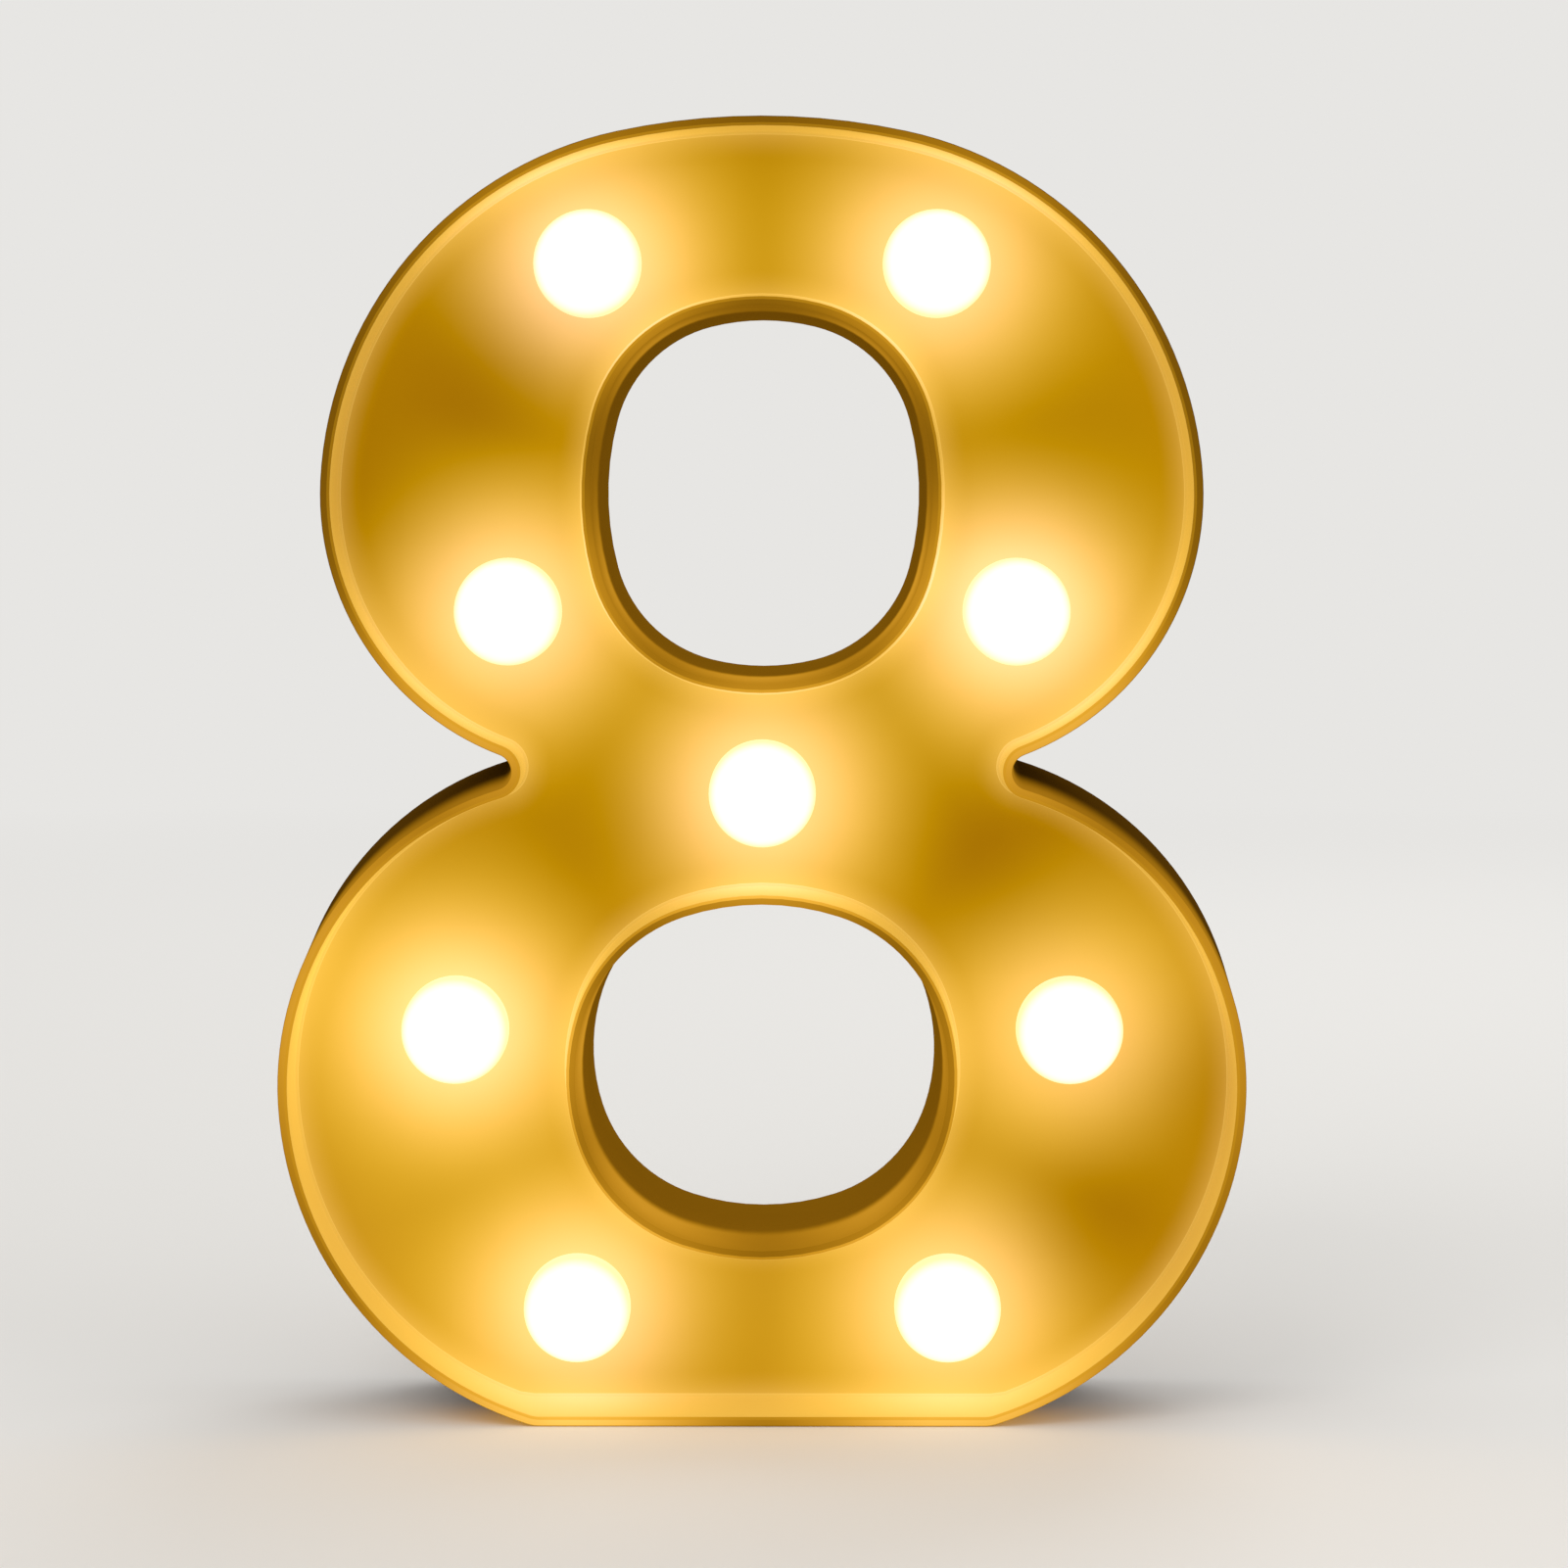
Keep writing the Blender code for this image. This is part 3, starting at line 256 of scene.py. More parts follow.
# Shader nodes
def fill(node, key, value):
    """Gives a node's socket a number, a colour or another node's output."""
    if isinstance(value, bpy.types.NodeSocket):
        node.id_data.links.new(value, node.inputs[key])
    else:
        node.inputs[key].default_value = value


def add_node(tree, kind, **settings):
    """A shader node; plain settings are its own, and keys such as in_Scale or in_0 fill its sockets."""
    node = tree.nodes.new(kind)
    for key, value in settings.items():
        if not key.startswith("in_"):
            setattr(node, key, value)
    for key, value in settings.items():
        if key.startswith("in_"):
            socket = key[3:].replace("_", " ")
            fill(node, int(socket) if socket.isdigit() else socket, value)
    return node


def new_material(name):
    """A material, its tree, its shader and the place on the surface in the part's own space."""
    material = bpy.data.materials.new(name)
    material.use_nodes = True
    tree = material.node_tree
    place = add_node(tree, "ShaderNodeTexCoord").outputs["Object"]
    return material, tree, tree.nodes["Principled BSDF"], place


def noise(tree, place, scale, detail=2.0, roughness=0.5):
    return add_node(tree, "ShaderNodeTexNoise", in_Vector=place, in_Scale=scale, in_Detail=detail,
                    in_Roughness=roughness).outputs["Fac"]


def ranged(tree, value, low, high, start=0.0, end=1.0, **settings):
    """From low to high as the value goes from start to end."""
    return add_node(tree, "ShaderNodeMapRange", in_Value=value, in_1=start, in_2=end, in_3=low, in_4=high,
                    **settings).outputs[0]


def soft_ramp(tree, value, start, end):
    """From 0 to 1 as the value goes from start to end, eased at both ends."""
    return ranged(tree, value, 0.0, 1.0, start, end, interpolation_type="SMOOTHSTEP")


def maths(tree, operation, *values, kind="ShaderNodeMath"):
    sockets = {f"in_{i}": value for i, value in enumerate(values)}
    return add_node(tree, kind, operation=operation, **sockets).outputs[0]


def vector_maths(tree, operation, *values):
    return maths(tree, operation, *values, kind="ShaderNodeVectorMath")


def scaled(tree, vector, factor):
    return add_node(tree, "ShaderNodeVectorMath", operation="SCALE", in_0=vector, in_Scale=factor).outputs[0]


def blended(tree, factor, first, second):
    """The first colour where the factor is 0, and the second where it is 1."""
    return add_node(tree, "ShaderNodeMix", data_type="RGBA", in_0=factor, in_6=first, in_7=second).outputs[2]


def axes_of(tree, place):
    """Sockets with the place's x, y and z."""
    return add_node(tree, "ShaderNodeSeparateXYZ", in_0=place).outputs


# Surfaces
WARM = (1.0, 0.60, 0.10)
GRAIN_SCALE = 2600
GRAIN_DEPTH = 0.00002


def patched(tree, shader, place, base, scale, spread):
    """Gives the shader its colour, lighter and darker in slow patches, and returns the patches' factor."""
    slow = ranged(tree, noise(tree, place, scale, detail=3.0), 1 - spread, 1 + spread)
    fill(shader, "Base Color", scaled(tree, base, slow))
    return slow


def bumped(tree, shader, height, strength, depth):
    bump = add_node(tree, "ShaderNodeBump", in_Strength=strength, in_Distance=depth, in_Height=height)
    fill(shader, "Normal", bump.outputs[0])


def grain(tree, shader, place, roughness, spread=0.06, depth=GRAIN_DEPTH, scale=GRAIN_SCALE):
    """Fine moulded grain in the normal, and a roughness that varies softly."""
    fine = noise(tree, place, scale, detail=3.0, roughness=0.6)
    slow = noise(tree, place, scale=90)
    both = maths(tree, "MULTIPLY", maths(tree, "ADD", fine, slow), 0.5)
    fill(shader, "Roughness", ranged(tree, both, roughness - spread, roughness + spread))
    bumped(tree, shader, fine, strength=0.35, depth=depth)


def soften(shader, level):
    """A weak sheen in the plastic's own warm tone."""
    fill(shader, "Specular IOR Level", level)
    fill(shader, "Specular Tint", (*WARM, 1))


def give_off(shader, light):
    fill(shader, "Emission Color", light)
    fill(shader, "Emission Strength", 1.0)


# Painted glow of the globes
def glow_group(name, places, reach, power):
    """Soft bells round places given as shares of the height; the reach is in square metres.

    With a power above one they are added so that the light between two of them isn't doubled.
    """
    tree = bpy.data.node_groups.new(name, "ShaderNodeTree")
    tree.interface.new_socket("Place", in_out="INPUT", socket_type="NodeSocketVector")
    tree.interface.new_socket("Glow", in_out="OUTPUT", socket_type="NodeSocketFloat")
    source = tree.nodes.new("NodeGroupInput").outputs[0]
    total = 0.0
    for x, z, gain in places:
        away = add_node(tree, "ShaderNodeVectorMath", operation="DISTANCE", in_0=source,
                        in_1=(x * HEIGHT, FACE_Y, z * HEIGHT))
        square = maths(tree, "POWER", away.outputs["Value"], 2.0)
        bell = maths(tree, "EXPONENT", maths(tree, "DIVIDE", square, -reach / power))
        total = maths(tree, "MULTIPLY_ADD", bell, gain ** power, total)
    if power > 1:
        total = maths(tree, "POWER", total, 1 / power)
    fill(tree.nodes.new("NodeGroupOutput"), 0, total)
    return tree


def glow_at(tree, group, place):
    return add_node(tree, "ShaderNodeGroup", node_tree=group, in_0=place).outputs[0]


NEAR_GLOW = glow_group("near_glow", GLOBES.values(), reach=0.000380, power=3)
WIDE_GLOW = glow_group("wide_glow", GLOBES.values(), reach=0.000500, power=3)
# The patches' painted shade and painted light
PATCH_GLOW = glow_group("patches", PAINTED_PATCHES.values(), reach=0.000300, power=1)

# Face plate and recess wall, lit by painted glow
# Painted light on the plate: bluer where the painted glow is strong, more low down and near the wall, and the
# colours of the patches' painted shade and painted light
BLUE_POWER = 1.86
LOW_HEIGHTS = (0.135, 0.045)
LOW_LIGHT = (0.09, 0.053, 0.010)
NEAR_WALL = "near_wall"
NEAR_WALL_POWER = 1.7
NEAR_WALL_LIGHT = (0.14, 0.100, 0.035)
PATCH_LIGHT = (1.48, 1.0, 0.12)


def lit_face(name, base, painted_seep, gain):
    """The moulding round the globes: its own colour, a painted glow for light that seeps through, and the
    painted glow of the globes.

    There is more painted light low down, near the walls and in the lighter patches, and painted shade in the
    darker ones.
    """
    material, tree, shader, place = new_material(name)
    slow = patched(tree, shader, place, base, scale=38, spread=0.05)
    glow = glow_at(tree, NEAR_GLOW, place)
    blue = maths(tree, "POWER", glow, BLUE_POWER)
    colour = add_node(tree, "ShaderNodeCombineXYZ", in_0=glow, in_1=glow, in_2=blue).outputs[0]
    light = vector_maths(tree, "MULTIPLY_ADD", colour, gain, painted_seep)
    low = soft_ramp(tree, axes_of(tree, place)[2], *LOW_HEIGHTS)
    near_wall = add_node(tree, "ShaderNodeAttribute", attribute_name=NEAR_WALL).outputs["Fac"]
    near_wall = maths(tree, "POWER", near_wall, NEAR_WALL_POWER)
    painted_patch = glow_at(tree, PATCH_GLOW, place)
    for more, factor in ((LOW_LIGHT, low), (NEAR_WALL_LIGHT, near_wall), (PATCH_LIGHT, painted_patch)):
        light = vector_maths(tree, "ADD", light, scaled(tree, more, factor))
    light = vector_maths(tree, "MAXIMUM", light, (0, 0, 0))
    give_off(shader, scaled(tree, light, slow))
    soften(shader, 0.08)
    grain(tree, shader, place, roughness=0.42)
    return material


# The plate and the recess wall are one plastic: the recess wall's lighter base is painted light, and the
# glows of both are painted
FACE = lit_face("lit_plate", base=(0.18, 0.098, 0.001), painted_seep=(0.335, 0.166, 0.001), gain=(1.0, 0.68, 0.45))
BAND = lit_face("lit_recess_wall", base=(0.30, 0.17, 0.03), painted_seep=(0.44, 0.27, 0.036), gain=(1.15, 0.78, 0.95))

# Rims and walls, lit by painted glow
# Colours of the walls' painted glow, amber and paler where it is strongest, the heights of the upper loop,
# and the depths over which the painted glow fades to painted shade further back
AMBER = (1.0, 0.45, 0.008)
PALE = (0.0, 0.14, 0.10)
PALE_POWER = 3.0
LOW_PAINTED_SEEP = 1.35
LOOP_HEIGHTS = (0.150, 0.100)
COUNTER_LOOP_HEIGHTS = (0.162, 0.112)
RIM_DEPTHS = (-0.020, -0.010)
SIDE_DEPTHS = (FRONT_Y, 0.002)
COUNTER_DEPTHS = (-0.0095, -0.0030)
# The rims' base, a darker copy of the plastic: painted shade
RIM_BASE = (0.12, 0.052, 0.002)


def lit_wall(name, base, depths, painted_seep, front, gain, upper, floor=0.0, heights=LOOP_HEIGHTS, sharp=1.0):
    """A wall seen from its side, with painted glow: dim where it stands for light that only seeps through,
    golden near the front.

    The front has a painted light of its own and the painted glow of the globes times the gain, and between
    the two depths both fade to the floor's share, painted shade further back. In the upper loop, above the
    two heights, the front's painted light and the gain are multiplied by the two numbers of upper, and the
    painted glow falls off faster where sharp is above one.
    """
    material, tree, shader, place = new_material(name)
    slow = patched(tree, shader, place, base, scale=60, spread=0.07)
    axes = axes_of(tree, place)
    low = soft_ramp(tree, axes[2], *heights)
    near_y, far_y = depths
    ahead = soft_ramp(tree, axes[1], far_y, near_y)
    upper_front, upper_gain = upper
    glow = maths(tree, "POWER", glow_at(tree, WIDE_GLOW, place), ranged(tree, low, sharp, 1.0))
    strength = maths(tree, "MULTIPLY", glow, ranged(tree, low, gain * upper_gain, gain))
    strength = maths(tree, "ADD", strength, ranged(tree, low, front * upper_front, front))
    strength = maths(tree, "MULTIPLY", strength, ranged(tree, ahead, floor, 1.0))
    strength = maths(tree, "ADD", strength, ranged(tree, low, painted_seep, painted_seep * LOW_PAINTED_SEEP))
    strength = maths(tree, "MULTIPLY", strength, slow)
    pale = scaled(tree, PALE, maths(tree, "POWER", strength, PALE_POWER))
    give_off(shader, vector_maths(tree, "ADD", scaled(tree, AMBER, strength), pale))
    soften(shader, 0.0)
    grain(tree, shader, place, roughness=0.60)
    return material


# The rims and walls are one plastic: their lighter and darker bases are painted light and painted shade, and
# their glows are painted light
RIM_IN = lit_wall("lit_rim_inside", (0.20, 0.10, 0.004), RIM_DEPTHS, painted_seep=0.08, front=0.12, gain=1.7,
                  upper=(0.4, 0.4), floor=0.4)
RIM_FACE = lit_wall("lit_rim", RIM_BASE, RIM_DEPTHS, painted_seep=0.03, front=0.16, gain=2.6,
                    upper=(0.25, 0.25), floor=0.4)
COUNTER_RIM = lit_wall("counter_rim", RIM_BASE, RIM_DEPTHS, painted_seep=0.02, front=0.08, gain=1.1,
                       upper=(0.8, 1.3), floor=0.4, heights=COUNTER_LOOP_HEIGHTS, sharp=1.5)
SIDE = lit_wall("side_wall", (0.09, 0.038, 0.002), SIDE_DEPTHS, painted_seep=0.0, front=0.20, gain=1.1,
                upper=(0.2, 0.2))
COUNTER = lit_wall("counter_wall", (0.14, 0.064, 0.003), COUNTER_DEPTHS, painted_seep=0.080, front=0.07, gain=1.0,
                   upper=(1.0, 1.2), heights=COUNTER_LOOP_HEIGHTS, sharp=2.0)


# Plain plastics
def plain_plastic(name, base, roughness, scale=GRAIN_SCALE, depth=GRAIN_DEPTH, sheen=None):
    material, tree, shader, place = new_material(name)
    patched(tree, shader, place, base, scale=45, spread=0.07)
    grain(tree, shader, place, roughness, depth=depth, scale=scale)
    if sheen is not None:
        soften(shader, sheen)
    return material


BACK = plain_plastic("back_moulding", (0.16, 0.071, 0.004), 0.55, scale=1800, depth=0.00003, sheen=0.25)
DARK = plain_plastic("knob_moulding", (0.022, 0.022, 0.024), 0.45, scale=3000)
COLLAR = plain_plastic("collar_moulding", (0.74, 0.70, 0.60), 0.5)
TWIN = plain_plastic("twin_cover", (0.80, 0.78, 0.72), 0.5)
RED = plain_plastic("red_cover", (0.50, 0.02, 0.02), 0.45)
BLACK = plain_plastic("black_cover", (0.022, 0.022, 0.022), 0.45)


# Metals
def metal(name, base, roughness, along=(1, 1, 1)):
    """Metal with fine drawn lines across the given stretch, and a few duller patches."""
    material, tree, shader, place = new_material(name)
    stretched = add_node(tree, "ShaderNodeMapping", in_Vector=place, in_Scale=along).outputs[0]
    lines = noise(tree, stretched, scale=900, detail=3.0)
    dull = noise(tree, place, scale=260, detail=3.0)
    fill(shader, "Base Color", scaled(tree, base, ranged(tree, dull, 0.82, 1.1)))
    fill(shader, "Roughness", ranged(tree, lines, roughness - 0.09, roughness + 0.12))
    fill(shader, "Metallic", 1.0)
    bumped(tree, shader, lines, strength=0.2, depth=0.00001)
    return material


STEEL = metal("zinc_steel", (0.60, 0.61, 0.63), 0.34)
NICKEL = metal("nickel_plate", (0.72, 0.70, 0.66), 0.26, along=(1, 1, 8))
CAN = metal("switch_can", (0.56, 0.57, 0.59), 0.36, along=(8, 1, 1))


# Frosted globes
def globe_material():
    """Frosted dome, whitest where the lamp stands behind it and warmer towards its foot."""
    material, tree, shader, place = new_material("frosted_dome")
    dome_y = FACE_Y - GLOBE_STRAIGHT
    side = soft_ramp(tree, axes_of(tree, place)[1], dome_y - 0.0055, dome_y - 0.0012)
    fill(shader, "Base Color", blended(tree, side, (0.62, 0.50, 0.25, 1), (0.60, 0.46, 0.24, 1)))
    fill(shader, "Emission Color", blended(tree, side, (1.0, 0.96, 0.73, 1), (0.90, 0.50, 0.30, 1)))
    cloud = noise(tree, place, scale=420, detail=3.0)
    fill(shader, "Emission Strength", ranged(tree, cloud, 1.15, 1.27))
    grain(tree, shader, place, roughness=0.32, spread=0.05, depth=0.000015, scale=3200)
    return material


GLOBE = globe_material()


# Outline, as in the CAD model
def arc_chain(start, arcs):
    """Arcs that start level and follow one another smoothly, and the place where the last one ends."""
    x, z = start
    heading = 0
    chain = []
    for radius, degrees in arcs:
        turn = math.radians(degrees)
        side = math.copysign(1, turn)
        centre_x = x - side * radius * math.sin(heading)
        centre_z = z + side * radius * math.cos(heading)
        chain.append((centre_x, centre_z, radius, heading, turn))
        heading += turn
        x = centre_x + side * radius * math.sin(heading)
        z = centre_z - side * radius * math.cos(heading)
    return chain, x, z


def chain_points(chain, offset, step):
    """Points along the arcs, moved outwards by the offset and about a step of degrees apart."""
    points = []
    for centre_x, centre_z, radius, heading, turn in chain:
        side = math.copysign(1, turn)
        reach = side * (radius + side * offset)
        pieces = abs(math.degrees(turn)) / step
        if turn < 0:
            pieces /= NOTCH_COARSER
        count = max(LEAST_PIECES, round(pieces))
        for i in range(1, count + 1):
            angle = heading + turn * i / count
            points.append((centre_x + reach * math.sin(angle), centre_z - reach * math.cos(angle)))
    return points


def outline_chain():
    """The right half of the outline, from the foot to a crown that closes it, scaled to the height."""
    _, x, _ = arc_chain((FOOT_HALF_SHARE, 0), OUTLINE_ARC_SHARES)
    crown = x / math.sin(math.radians(TOP_TURN))
    arcs = OUTLINE_ARC_SHARES + ((crown, TOP_TURN),)
    _, _, top = arc_chain((FOOT_HALF_SHARE, 0), arcs)
    scale = HEIGHT / top
    arcs = [(radius * scale, turn) for radius, turn in arcs]
    half = FOOT_HALF_SHARE * scale
    return arc_chain((half, 0), arcs)[0], half


def counter_chain(foot_share, arc_shares):
    """The right half of a counter, the same above its middle as below."""
    end, corner, side = [(share * HEIGHT, turn) for share, turn in arc_shares]
    return arc_chain((0, foot_share * HEIGHT), (end, corner, side, corner, end))[0]


OUTER, FOOT_HALF = outline_chain()
COUNTERS = (counter_chain(UPPER_FOOT_SHARE, UPPER_ARC_SHARES),
            counter_chain(LOWER_FOOT_SHARE, LOWER_ARC_SHARES))


def rings_at(y, inset):
    """The outline and the two counters at a depth, all moved into the plastic by the inset."""
    depth_share = (y - FRONT_Y) / DEPTH
    spread = SPREAD * depth_share
    right = [(FOOT_HALF, inset - spread)] + chain_points(OUTER, spread - inset, STEP)
    right = [(x, max(z, inset)) for x, z in right]
    rings = [right + [(-x, z) for x, z in reversed(right[:-1])]]
    growth = inset - COUNTER_SPREAD * depth_share
    for chain in COUNTERS:
        foot = (0, chain[0][1] - chain[0][2] - growth)
        half = [foot] + chain_points(chain, growth, COUNTER_STEP)
        rings.append(half + [(-x, z) for x, z in reversed(half[1:-1])])
    return [[(x, y, z) for x, z in ring] for ring in rings]


# Meshes
def bend(start, corner, end, count=4):
    """Points of a quarter turn from start to end that rounds off the corner."""
    points = []
    for i in range(count + 1):
        angle = math.pi / 2 * i / count
        first, last = 1 - math.sin(angle), 1 - math.cos(angle)
        points.append(tuple(c + (s - c) * first + (e - c) * last for s, c, e in zip(start, corner, end)))
    return points


def round_ring(x, y, z, radius, count):
    return [(x + radius * math.sin(math.tau * i / count), y, z - radius * math.cos(math.tau * i / count))
            for i in range(count)]


def add_points(bm, points):
    return [bm.verts.new(point) for point in points]


def loft(bm, near, far, index=0):
    """Faces between two rings with the same number of points."""
    for i in range(len(near)):
        face = bm.faces.new((near[i - 1], near[i], far[i], far[i - 1]))
        face.material_index = index
        face.smooth = True


def close_rows(bm, rows):
    """Lofts through the rows and closes both ends."""
    for near, far in zip(rows, rows[1:]):
        loft(bm, near, far)
    bm.faces.new(rows[0])
    bm.faces.new(rows[-1])


def cap(bm, rings, index=0):
    """Flat faces inside the first ring, with the other rings as holes."""
    edges = [bm.edges.get((ring[i - 1], ring[i])) for ring in rings for i in range(len(ring))]
    made = bmesh.ops.triangle_fill(bm, use_beauty=True, use_dissolve=False, edges=edges)["geom"]
    for face in made:
        if isinstance(face, bmesh.types.BMFace):
            face.material_index = index
            face.smooth = True


def finish_shading(obj, sharp=35):
    """Smooth faces, with hard edges where the surface turns by more than the angle."""
    for face in obj.data.polygons:
        face.use_smooth = True
    obj.data.set_sharp_from_angle(angle=math.radians(sharp))


def link_mesh(name, mesh, sharp=35):
    obj = bpy.data.objects.new(name, mesh)
    bpy.context.scene.collection.objects.link(obj)
    finish_shading(obj, sharp)
    return obj


def to_object(name, bm, materials, sharp=35):
    bmesh.ops.recalc_face_normals(bm, faces=bm.faces)
    mesh = bpy.data.meshes.new(name)
    bm.to_mesh(mesh)
    bm.free()
    for material in materials:
        mesh.materials.append(material)
    return link_mesh(name, mesh, sharp)


def weigh_normals(obj):
    """Lets the large faces keep their own direction where they meet a rounding."""
    step = obj.modifiers.new("weighted", "WEIGHTED_NORMAL")
    step.keep_sharp = True
    step.weight = 50
    return obj


def settle(obj):
    """Turns the object's modifiers into its mesh."""
    graph = bpy.context.evaluated_depsgraph_get()
    mesh = bpy.data.meshes.new_from_object(obj.evaluated_get(graph), depsgraph=graph)
    obj.modifiers.clear()
    obj.data = mesh


def stands_for(obj, body, slot, *nodes):
    """Puts the object under its body's empty, and hides the CAD nodes whose place it takes. The slot is not
    used.
    """
    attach(obj, body)
    if nodes:
        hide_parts(*nodes)


def spots(shares, mirrored=False):
    """Places in metres from shares of the height, each also on the other side if mirrored."""
    places = {}
    for name, (x, z, *_) in shares.items():
        if mirrored:
            places[name + "_left"] = (-x * HEIGHT, z * HEIGHT)
            places[name + "_right"] = (x * HEIGHT, z * HEIGHT)
        else:
            places[name] = (x * HEIGHT, z * HEIGHT)
    return places


GLOBE_SPOTS = spots(GLOBES)
SCREW_SPOTS = spots(SCREWS, mirrored=True)

# Front moulding
MOULDING = (FACE, BAND, RIM_IN, RIM_FACE, SIDE, COUNTER_RIM, COUNTER, BACK)
FACE_SLOT, BAND_SLOT, INNER_SLOT, RIM_SLOT, WALL_SLOT, COUNTER_RIM_SLOT, COUNTER_SLOT, BACK_SLOT = range(8)
IN_COUNTER = {RIM_SLOT: COUNTER_RIM_SLOT, WALL_SLOT: COUNTER_SLOT}


def skin(bm, levels):
    """Lofts the outline and the counters through the levels, each a depth, an inset and a slot."""
    rows = [[add_points(bm, ring) for ring in rings_at(y, inset)] for y, inset, _ in levels]
    for near_row, far_row, (_, _, index) in zip(rows, rows[1:], levels):
        for number, (near, far) in enumerate(zip(near_row, far_row)):
            loft(bm, near, far, IN_COUNTER.get(index, index) if number else index)
    return rows


def curved(start, corner, end, slots):
    """Levels of a quarter turn, the last slot also for the stretch that follows it."""
    points = bend(start, corner, end, len(slots) - 1)
    return [(y, inset, slot) for (y, inset), slot in zip(points, slots)]


def front_levels():
    """From the face plate up the recess wall, over the rim, along the side to the seam and in behind."""
    corner = RIM + RECESS_LEAN
    fillet = corner + RECESS_FILLET
    levels = [(FACE_Y, fillet + NEAR_WALL_WIDTH, FACE_SLOT)]
    levels += curved((FACE_Y, fillet), (FACE_Y, corner), (FACE_Y - RECESS_FILLET, corner), (BAND_SLOT,) * 5)
    levels += curved((FRONT_Y + EDGE, RIM), (FRONT_Y, RIM), (FRONT_Y, RIM - EDGE),
                     (BAND_SLOT,) * 2 + (INNER_SLOT,) * 3 + (RIM_SLOT,))
    levels += curved((FRONT_Y, EDGE), (FRONT_Y, 0), (FRONT_Y + EDGE, 0), (RIM_SLOT,) * 3 + (WALL_SLOT,) * 3)
    levels += curved((SEAM_Y - SEAM_EDGE, 0), (SEAM_Y, 0), (SEAM_Y, SEAM_EDGE), (WALL_SLOT,) * 3)
    return levels + [(SEAM_Y, WALL, BACK_SLOT), (FACE_BACK_Y, WALL + GAP, BACK_SLOT)]


def add_boss(bm, x, z):
    """A screw boss with a blind hole, closed in itself and just clear of the plate's back."""
    corners = ((BOSS_R, FACE_BACK_Y + BOSS_CLEAR), (BOSS_R, BOSS_END_Y), (HOLE_R, BOSS_END_Y),
               (HOLE_R, HOLE_END_Y))
    rings = [add_points(bm, round_ring(x, y, z, radius, 32)) for radius, y in corners]
    for near, far in zip(rings, rings[1:]):
        loft(bm, near, far, BACK_SLOT)
    cap(bm, rings[:1], BACK_SLOT)
    cap(bm, rings[-1:], BACK_SLOT)


def front_moulding():
    """The lit half, its glow painted. Its second level, where the plate meets the fillet, is marked as near
    the wall for the plate's painted light there.
    """
    bm = bmesh.new()
    rows = skin(bm, front_levels())
    fronts, backs = [], []
    for x, z in GLOBE_SPOTS.values():
        for rings, y in ((fronts, FACE_Y), (backs, FACE_BACK_Y)):
            rings.append(add_points(bm, round_ring(x, y, z, NECK_R + GAP, 48)))
        loft(bm, fronts[-1], backs[-1], FACE_SLOT)
    cap(bm, rows[0] + fronts, FACE_SLOT)
    cap(bm, rows[-1] + backs, BACK_SLOT)
    for x, z in SCREW_SPOTS.values():
        add_boss(bm, x, z)
    count = sum(len(ring) for ring in rows[0])
    moulding = to_object("front_moulding", bm, MOULDING)
    near_wall = moulding.data.attributes.new(NEAR_WALL, "FLOAT", "POINT")
    near_wall.data.foreach_set("value", [float(count <= i < 2 * count) for i in range(len(near_wall.data))])
    return moulding


front = weigh_normals(front_moulding())
stands_for(front, "body", "lit_plastic", "front_shell")


# Joined and cut shapes
def add_box(bm, low, high, edge=0.0):
    """A box between two opposite corners, with rounded edges if an edge is given."""
    low, high = Vector(low), Vector(high)
    place = Matrix.Translation((low + high) / 2) @ Matrix.Diagonal((*(high - low), 1))
    made = bmesh.ops.create_cube(bm, size=1, matrix=place)["verts"]
    if edge:
        edges = list(dict.fromkeys(e for v in made for e in v.link_edges))
        bmesh.ops.bevel(bm, geom=edges, offset=edge, segments=3, profile=0.5, affect="EDGES")


def add_rod(bm, x, z, radius, near_y, far_y, far_radius=None):
    """A cylinder or cone along Y."""
    place = Matrix.Translation((x, (near_y + far_y) / 2, z)) @ Matrix.Rotation(math.radians(-90), 4, "X")
    bmesh.ops.create_cone(bm, cap_ends=True, segments=48, radius1=radius, depth=far_y - near_y, matrix=place,
                          radius2=radius if far_radius is None else far_radius)


def add_bar(bm, y, z, radius, half):
    """A cylinder along X, as far to the left as to the right."""
    place = Matrix.Translation((0, y, z)) @ Matrix.Rotation(math.radians(90), 4, "Y")
    bmesh.ops.create_cone(bm, cap_ends=True, segments=40, radius1=radius, radius2=radius, depth=2 * half,
                          matrix=place)


def block(x, near_y, far_y, low_z, high_z):
    """A box that is as far to the left as to the right."""
    return add_box, (-x, near_y, low_z), (x, far_y, high_z)


def centred(x, near_y, far_y, z, half_z):
    """A block that is as far above z as below it."""
    return block(x, near_y, far_y, z - half_z, z + half_z)


def twins(x_range, near_y, far_y, low_z, high_z):
    """A box on the right between the two values of x, and its mirror image on the left."""
    near_x, far_x = x_range
    return [(add_box, (near_x, near_y, low_z), (far_x, far_y, high_z)),
            (add_box, (-far_x, near_y, low_z), (-near_x, far_y, high_z))]


def at_screws(radius, near_y, far_y, far_radius=None):
    """A cylinder or cone at each screw."""
    return [(add_rod, x, z, radius, near_y, far_y, far_radius) for x, z in SCREW_SPOTS.values()]


def shapes(parts, index=0):
    """A mesh of shapes, each given as a function and the sizes that it takes."""
    bm = bmesh.new()
    for make, *sizes in parts:
        make(bm, *sizes)
    for face in bm.faces:
        face.material_index = index
    return bm


def carve(obj, operation, index, *parts):
    """Joins shapes that don't overlap one another to the object, or takes them away from it."""
    tool = to_object("tool", shapes(parts, index), ())
    step = obj.modifiers.new("tool", "BOOLEAN")
    step.solver = "EXACT"
    step.operation = operation
    step.object = tool
    settle(obj)
    bpy.data.objects.remove(tool, do_unlink=True)


